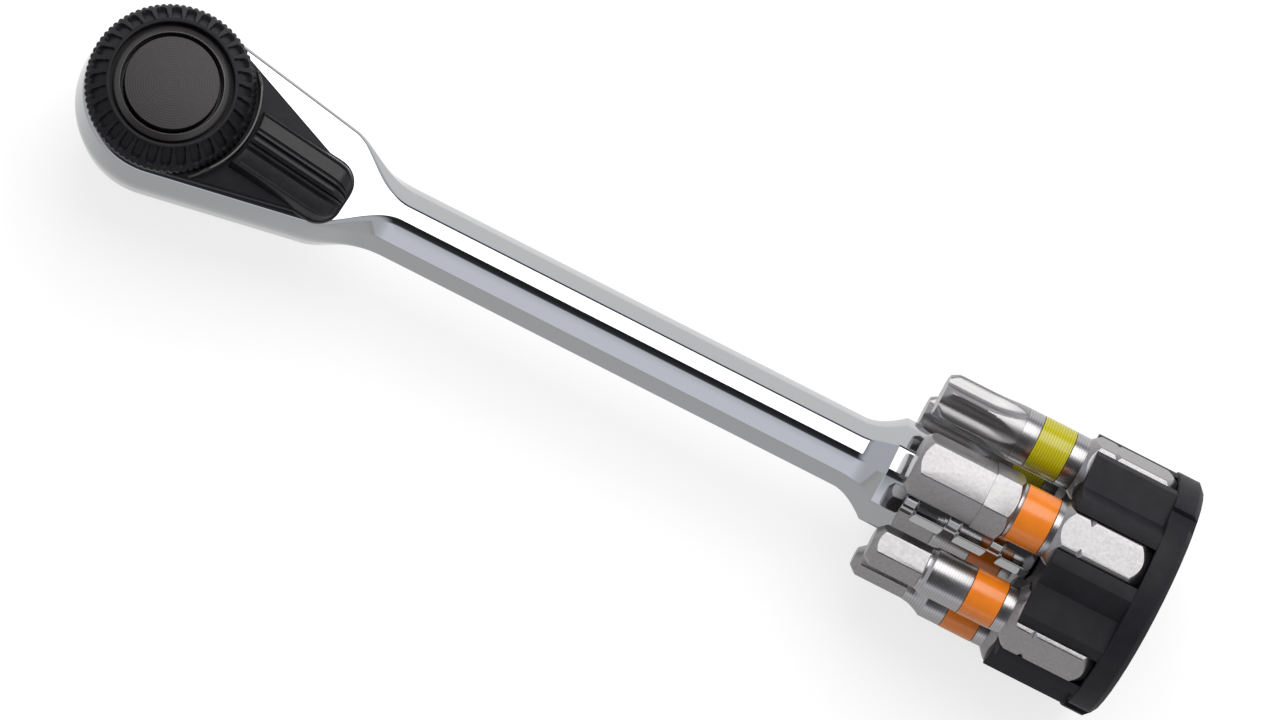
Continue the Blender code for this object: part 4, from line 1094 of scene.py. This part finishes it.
# Name: tip shape, tip size, neck radius, tip end, hexagon collar length, band start, band finish
BITS = (
    ("hex_6", "hex", 6.0, 2.98, 7.7, 3.0, 11.2, "orange"),
    ("hex_4", "hex", 4.0, 2.5, 5.8, 0, 10.7, "orange"),
    ("hex_3", "hex", 3.0, 2.45, 6.1, 0, 10.7, "orange"),
    ("hex_5", "hex", 5.0, 2.9, 6.6, 0, 10.7, "orange"),
    ("lobe_25", "lobe", 4.43, 2.7, 6.6, 0, 10.3, "lime"),
    ("lobe_30", "lobe", 5.5, 2.85, 7.2, 0, 10.3, "lime"),
)
BAND_FINISHES = {"orange": ORANGE, "lime": LIME}


def bit_shank(neck):
    """The hexagon shank, with its shoulder, nicked corners and chamfered end."""
    notch = SHANK_START + NOTCH_PLACE
    inset, height = SHANK_CHAMFER
    profile = [
        (0, BIT_LENGTH),
        (SHANK_OVER - inset, BIT_LENGTH),
        (SHANK_OVER, BIT_LENGTH - height),
        (SHANK_OVER, notch + NOTCH_HALF),
        (SHANK_OVER - NOTCH_DEPTH, notch),
        (SHANK_OVER, notch - NOTCH_HALF),
        (SHANK_OVER, SHANK_START + SHANK_SHOULDER),
        (neck, SHANK_START),
        (0, SHANK_START),
    ]
    stock = six_sided(HEX_FLATS, SHANK_START - 1, BIT_LENGTH + 1)
    return carved(turned(eased(profile, BIT_EASE, 3), BIT_ROUND), stock, "INTERSECT")


def hex_tip(size, tip_end, collar, neck):
    """A hexagon tip, with the larger hexagon behind it where the bit has one."""
    corner = size / math.sqrt(3) + TIP_OVER
    inset, height = TIP_CHAMFER
    front = [(corner, height), (corner - inset, 0), (0, 0)]
    tip_stock = six_sided(size, -1, tip_end + TIP_STOCK, TIP_EDGE)
    if not collar:
        root = tip_end + TIP_SUNK
        rod = turned(eased([(0, root), (corner, root), *front], BIT_EASE, 3), BIT_ROUND)
        return carved(rod, tip_stock, "INTERSECT")
    root = tip_end + collar
    stem = neck - NUT_STEM_INSET
    rear = [(0, root + NUT_SUNK), (stem, root + NUT_SUNK), (stem, root + NUT_REAR[0])]
    nut = [(SHANK_OVER, root - NUT_REAR[1]), (SHANK_OVER, tip_end + NUT_FRONT[0])]
    step = [(corner, tip_end - NUT_FRONT[1])]
    rod = turned(eased(rear + nut + step + front, BIT_EASE, 3), BIT_ROUND)
    stock = carved(six_sided(HEX_FLATS, tip_end, root + 2), tip_stock, "UNION")
    return carved(rod, stock, "INTERSECT")


def lobed_tip(size, tip_end, neck):
    """A six-lobed tip whose hollows run out to points on the round body behind it."""
    hollow = LOBE_HOLLOW * size
    full = LOBE_FULL_SHARE * tip_end
    end = tip_end + LOBE_RUNOUT
    face = size / 2 - LOBE_FACE_INSET
    rows = []
    for height in steps(0, LOBE_FACE, 4) + steps(LOBE_FACE, full, 4)[1:] + steps(full, end, 40)[1:]:
        flow = max(height - full, 0) / (end - full)
        scoop = flow * flow
        outer = mix(size / 2, neck, ease(LOBE_SWELL_SHARE, 1, flow))
        row = []
        for angle in steps(0, 2 * math.pi, LOBE_STEPS)[:-1]:
            reach = outer + hollow * (scoop - abs(math.sin(3 * angle)) ** LOBE_CURVE)
            reach = min(reach, outer, face + LOBE_FACE_SLOPE * height)
            row.append((reach * math.cos(angle), reach * math.sin(angle), height))
        rows.append(row)
    return closed_up(skin(rows, True))


def bit_neck(neck, front, band_start):
    """The turned middle of a bit, with the shallow seat of its colour band."""
    rear = SHANK_START + BIT_NECK_SUNK
    band_end = band_start + BAND_LENGTH
    seat = neck - BAND_SEAT
    profile = [(0, rear), (neck, rear), (neck, band_end), (seat, band_end), (seat, band_start)]
    profile += [(neck, band_start), *front]
    return turned(eased(profile, BIT_NECK_EASE, 3), BIT_ROUND)


def hollow_shoulder(size, neck, root):
    """The hollow shoulder from a bit's neck down to its hexagon tip."""
    corner = size / math.sqrt(3) - SHOULDER_INSET
    height = max(SHOULDER_LEAST, SHOULDER_SLOPE * (neck - corner))
    front = [(mix(neck, corner, t), root + height * (1 - t) ** HOLLOW_CURVE) for t in steps(0, 1, 6)]
    return front + [(0, root)]


def bit_band(neck, band_start):
    low, high = band_start + BAND_GAP, band_start + BAND_LENGTH - BAND_GAP
    under, over = neck - BAND_UNDER, neck + BAND_PROUD
    section = [(under, low), (over, low), (over, high), (under, high), (under, low)]
    return turned(eased(section, BAND_EASE, 3), BIT_ROUND)


def make_bit(index, name, shape, size, neck, tip_end, collar, band_start, colour):
    turn = index * SLOT_ANGLE
    place = (
        TO_FRAME
        @ Matrix.Translation((bit_tip, -PITCH_RADIUS * math.sin(turn), PITCH_RADIUS * math.cos(turn)))
        @ Matrix.Rotation(turn, 4, "X")
        @ Matrix.Rotation(math.pi / 2, 4, "Y")
    )
    body = f"bit_{name}"
    node_names = [body]
    driver = bit_shank(neck)
    if shape == "lobe":
        root = tip_end + LOBE_RUNOUT
        lobes = lobed_tip(size, tip_end, neck)
        add_piece(f"lobes_{name}", lobes, BRIGHT, body, node_names, place)
    else:
        root = tip_end + collar
        driver = merged(hex_tip(size, tip_end, collar, neck), driver)
    stepped = shape == "lobe" or collar
    front = [(neck, root), (0, root)] if stepped else hollow_shoulder(size, neck, root)
    add_piece(f"driver_{name}", driver, NICKEL, body, node_names, place, FLAT_SHARP)
    middle = bit_neck(neck, front, band_start)
    add_piece(f"neck_{name}", middle, TURNED, body, node_names, place)
    ring = bit_band(neck, band_start)
    add_piece(f"ring_{name}", ring, BAND_FINISHES[colour], body, [f"band_{name}"], place)


def make_holder():
    holder = softened("bit_holder", HOLDER_EDGE)
    add_piece("holder_shell", holder, HOLDER, "holder", ["bit_holder"], Matrix.Identity(4))


def dress_inner_parts():
    """The small parts inside the head keep their CAD shape and get their finish."""
    finishes = {
        "drive_gear": STEEL,
        "thrust_washer": STEEL,
        "retaining_ring": SPRING,
        "pawl": STEEL,
        "pawl_pin": STEEL,
        "plunger": STEEL,
        "dial_screw": STEEL,
        "bit_magnet": NICKEL,
    }
    for name, material in finishes.items():
        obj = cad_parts[name]
        obj.data.materials.clear()
        obj.data.materials.append(material)


# Stage

FLOOR_HALF = 2
FLOOR_DROP = 0.0003
FLOOR_GREY = (0.36, 0.36, 0.36)
FLOOR_WHITE = 0.7
# Painted shade: the level the floor dims to in reflections in front of the tool, over a span of Y
FLOOR_PAINTED_SHADE = 0.38
FLOOR_SHADE_SPAN = (-0.016, 0.006)

# Heights in the room, each with its brightness
ROOM_STOPS = ((0.0, 1.25), (0.2, 1.25), (0.3, 0.55), (0.42, 0.07), (1.0, 0.03))
ROOM_TINT = (0.93, 0.95, 1.04)
ROOM_FILL = (0.5, 0.5, 0.5, 1)
END_WALLS = (0.25, 0.6)
END_WALL_COLOUR = (0.82, 0.84, 0.9, 1)

# The photograph's frame in pixels, and the camera that was fitted to it
IMAGE_WIDTH = 1280
IMAGE_HEIGHT = 720
SENSOR = 36
FOCUS = 6256.6
PIXELS_PER_MM = 10.0201
AIM = (53.6, 0, 0)
AIM_SEEN = (646.14, 347.86)
ROLL = math.radians(26.915)
TILT = math.radians(-13.1211)
YAW = math.radians(2.4768)


def make_floor():
    bm = bmesh.new()
    bmesh.ops.create_grid(bm, x_segments=4, y_segments=4, size=FLOOR_HALF)
    mesh = bpy.data.meshes.new("floor")
    bmesh.ops.translate(bm, vec=(0, 0, cad_box[0].z - FLOOR_DROP), verts=bm.verts)
    bm.to_mesh(mesh)
    bm.free()
    floor = bpy.data.objects.new("floor", mesh)
    bpy.context.scene.collection.objects.link(floor)
    material = new_finish("pale_floor", FLOOR_GREY, 0.0, 0.9)
    shader = shader_of(material)
    shader.inputs["Emission Color"].default_value = (1, 1, 1, 1)
    link(material, floor_glow_and_painted_shade(material), shader.inputs["Emission Strength"])
    mesh.materials.append(material)


def floor_glow_and_painted_shade(material):
    """White where the camera looks; in reflections the floor falls off to grey in front of the tool, a
    painted shade standing in for the tool's shadow there.
    """
    split = node(material, "ShaderNodeSeparateXYZ")
    link(material, object_place(material), split.inputs["Vector"])
    shade_span = {"From_Min": FLOOR_SHADE_SPAN[0], "From_Max": FLOOR_SHADE_SPAN[1]}
    # Painted shade: the floor seen in reflections darkens towards the tool's front
    painted_shade = node(material, "ShaderNodeMapRange", **shade_span, To_Min=FLOOR_PAINTED_SHADE, To_Max=FLOOR_WHITE)
    link(material, split.outputs["Y"], painted_shade.inputs["Value"])
    path = node(material, "ShaderNodeLightPath")
    mirrored = maths(material, "MAXIMUM", path.outputs["Is Glossy Ray"], path.outputs["Is Transmission Ray"])
    mirrored = maths(material, "MULTIPLY", mirrored, painted_shade.outputs["Result"])
    direct = maths(material, "MULTIPLY", path.outputs["Is Camera Ray"], FLOOR_WHITE)
    return maths(material, "MAXIMUM", mirrored, direct)


def maths(material, operation, first, second):
    """One sum on two values, each of them a socket or a plain number."""
    made = node(material, "ShaderNodeMath")
    made.operation = operation
    for value, socket in zip((first, second), made.inputs):
        if isinstance(value, float):
            socket.default_value = value
        else:
            link(material, value, socket)
    return made.outputs["Value"]


def make_world():
    """A studio room: white at the horizon, darker overhead where the camera stands."""
    world = bpy.data.worlds.new("studio")
    bpy.context.scene.world = world
    world.use_nodes = True
    tree = world.node_tree
    coordinates = tree.nodes.new("ShaderNodeTexCoord")
    split = tree.nodes.new("ShaderNodeSeparateXYZ")
    tree.links.new(coordinates.outputs["Generated"], split.inputs["Vector"])
    ramp = tree.nodes.new("ShaderNodeValToRGB")
    elements = ramp.color_ramp.elements
    for position, _ in ROOM_STOPS[1:-1]:
        elements.new(position)
    for element, (position, level) in zip(elements, ROOM_STOPS):
        element.position = position
        element.color = (*[level * tint for tint in ROOM_TINT], 1)
    tree.links.new(split.outputs["Z"], ramp.inputs["Fac"])
    sideways = tree.nodes.new("ShaderNodeMath")
    sideways.operation = "ABSOLUTE"
    tree.links.new(split.outputs["X"], sideways.inputs[0])
    ends = tree.nodes.new("ShaderNodeMapRange")
    ends.interpolation_type = "SMOOTHSTEP"
    ends.inputs["From Min"].default_value = END_WALLS[0]
    ends.inputs["From Max"].default_value = END_WALLS[1]
    tree.links.new(sideways.outputs["Value"], ends.inputs["Value"])
    blend = tree.nodes.new("ShaderNodeMix")
    blend.data_type = "RGBA"
    blend.inputs["B"].default_value = END_WALL_COLOUR
    tree.links.new(ends.outputs["Result"], blend.inputs["Factor"])
    tree.links.new(ramp.outputs["Color"], blend.inputs["A"])
    room = tree.nodes["Background"]
    tree.links.new(blend.outputs["Result"], room.inputs["Color"])
    white = tree.nodes.new("ShaderNodeBackground")
    soft = tree.nodes.new("ShaderNodeBackground")
    soft.inputs["Color"].default_value = ROOM_FILL
    path = tree.nodes.new("ShaderNodeLightPath")
    lit = tree.nodes.new("ShaderNodeMixShader")
    tree.links.new(path.outputs["Is Glossy Ray"], lit.inputs["Fac"])
    tree.links.new(soft.outputs["Background"], lit.inputs[1])
    tree.links.new(room.outputs["Background"], lit.inputs[2])
    seen = tree.nodes.new("ShaderNodeMixShader")
    white.inputs["Color"].default_value = (1, 1, 1, 1)
    tree.links.new(path.outputs["Is Camera Ray"], seen.inputs["Fac"])
    tree.links.new(lit.outputs["Shader"], seen.inputs[1])
    tree.links.new(white.outputs["Background"], seen.inputs[2])
    tree.links.new(seen.outputs["Shader"], tree.nodes["World Output"].inputs["Surface"])


def add_softbox(name, direction, distance, width, depth, power):
    """A soft lamp that faces the tool from a direction."""
    lamp = bpy.data.lights.new(name, "AREA")
    lamp.shape = "RECTANGLE"
    lamp.size = width
    lamp.size_y = depth
    lamp.energy = power
    obj = bpy.data.objects.new(name, lamp)
    bpy.context.scene.collection.objects.link(obj)
    away = Vector(direction).normalized()
    obj.location = away * distance + Vector((0, 0, handle_line))
    obj.rotation_euler = (-away).to_track_quat("-Z", "Y").to_euler()


def make_camera():
    """The photograph's camera: turned with the handle, tilted to its near side, and long in focus."""
    turn = Matrix.Rotation(-ROLL, 3, "Z") @ Matrix.Rotation(YAW, 3, "Y") @ Matrix.Rotation(TILT, 3, "X")
    right, up, back = turn
    across = (AIM_SEEN[0] - IMAGE_WIDTH / 2) / PIXELS_PER_MM
    down = (AIM_SEEN[1] - IMAGE_HEIGHT / 2) / PIXELS_PER_MM
    place = Vector(AIM) + back * (FOCUS / PIXELS_PER_MM) - right * across + up * down
    camera = bpy.data.cameras.new("camera")
    camera.sensor_width = SENSOR
    camera.lens = FOCUS * SENSOR / IMAGE_WIDTH
    camera.clip_start = 0.01
    obj = bpy.data.objects.new("camera", camera)
    bpy.context.scene.collection.objects.link(obj)
    obj.matrix_world = Matrix.Translation(TO_FRAME @ place) @ turn.transposed().to_4x4()
    bpy.context.scene.camera = obj


make_body()
make_dial()
make_lever()
for number, bit in enumerate(BITS):
    make_bit(number, *bit)
make_holder()
dress_inner_parts()
make_floor()
make_world()
add_softbox("key_softbox", direction=(0.0, 0.5, 1.0), distance=0.5, width=0.42, depth=0.4, power=1.8)
make_camera()
bpy.context.scene.view_settings.view_transform = "Standard"
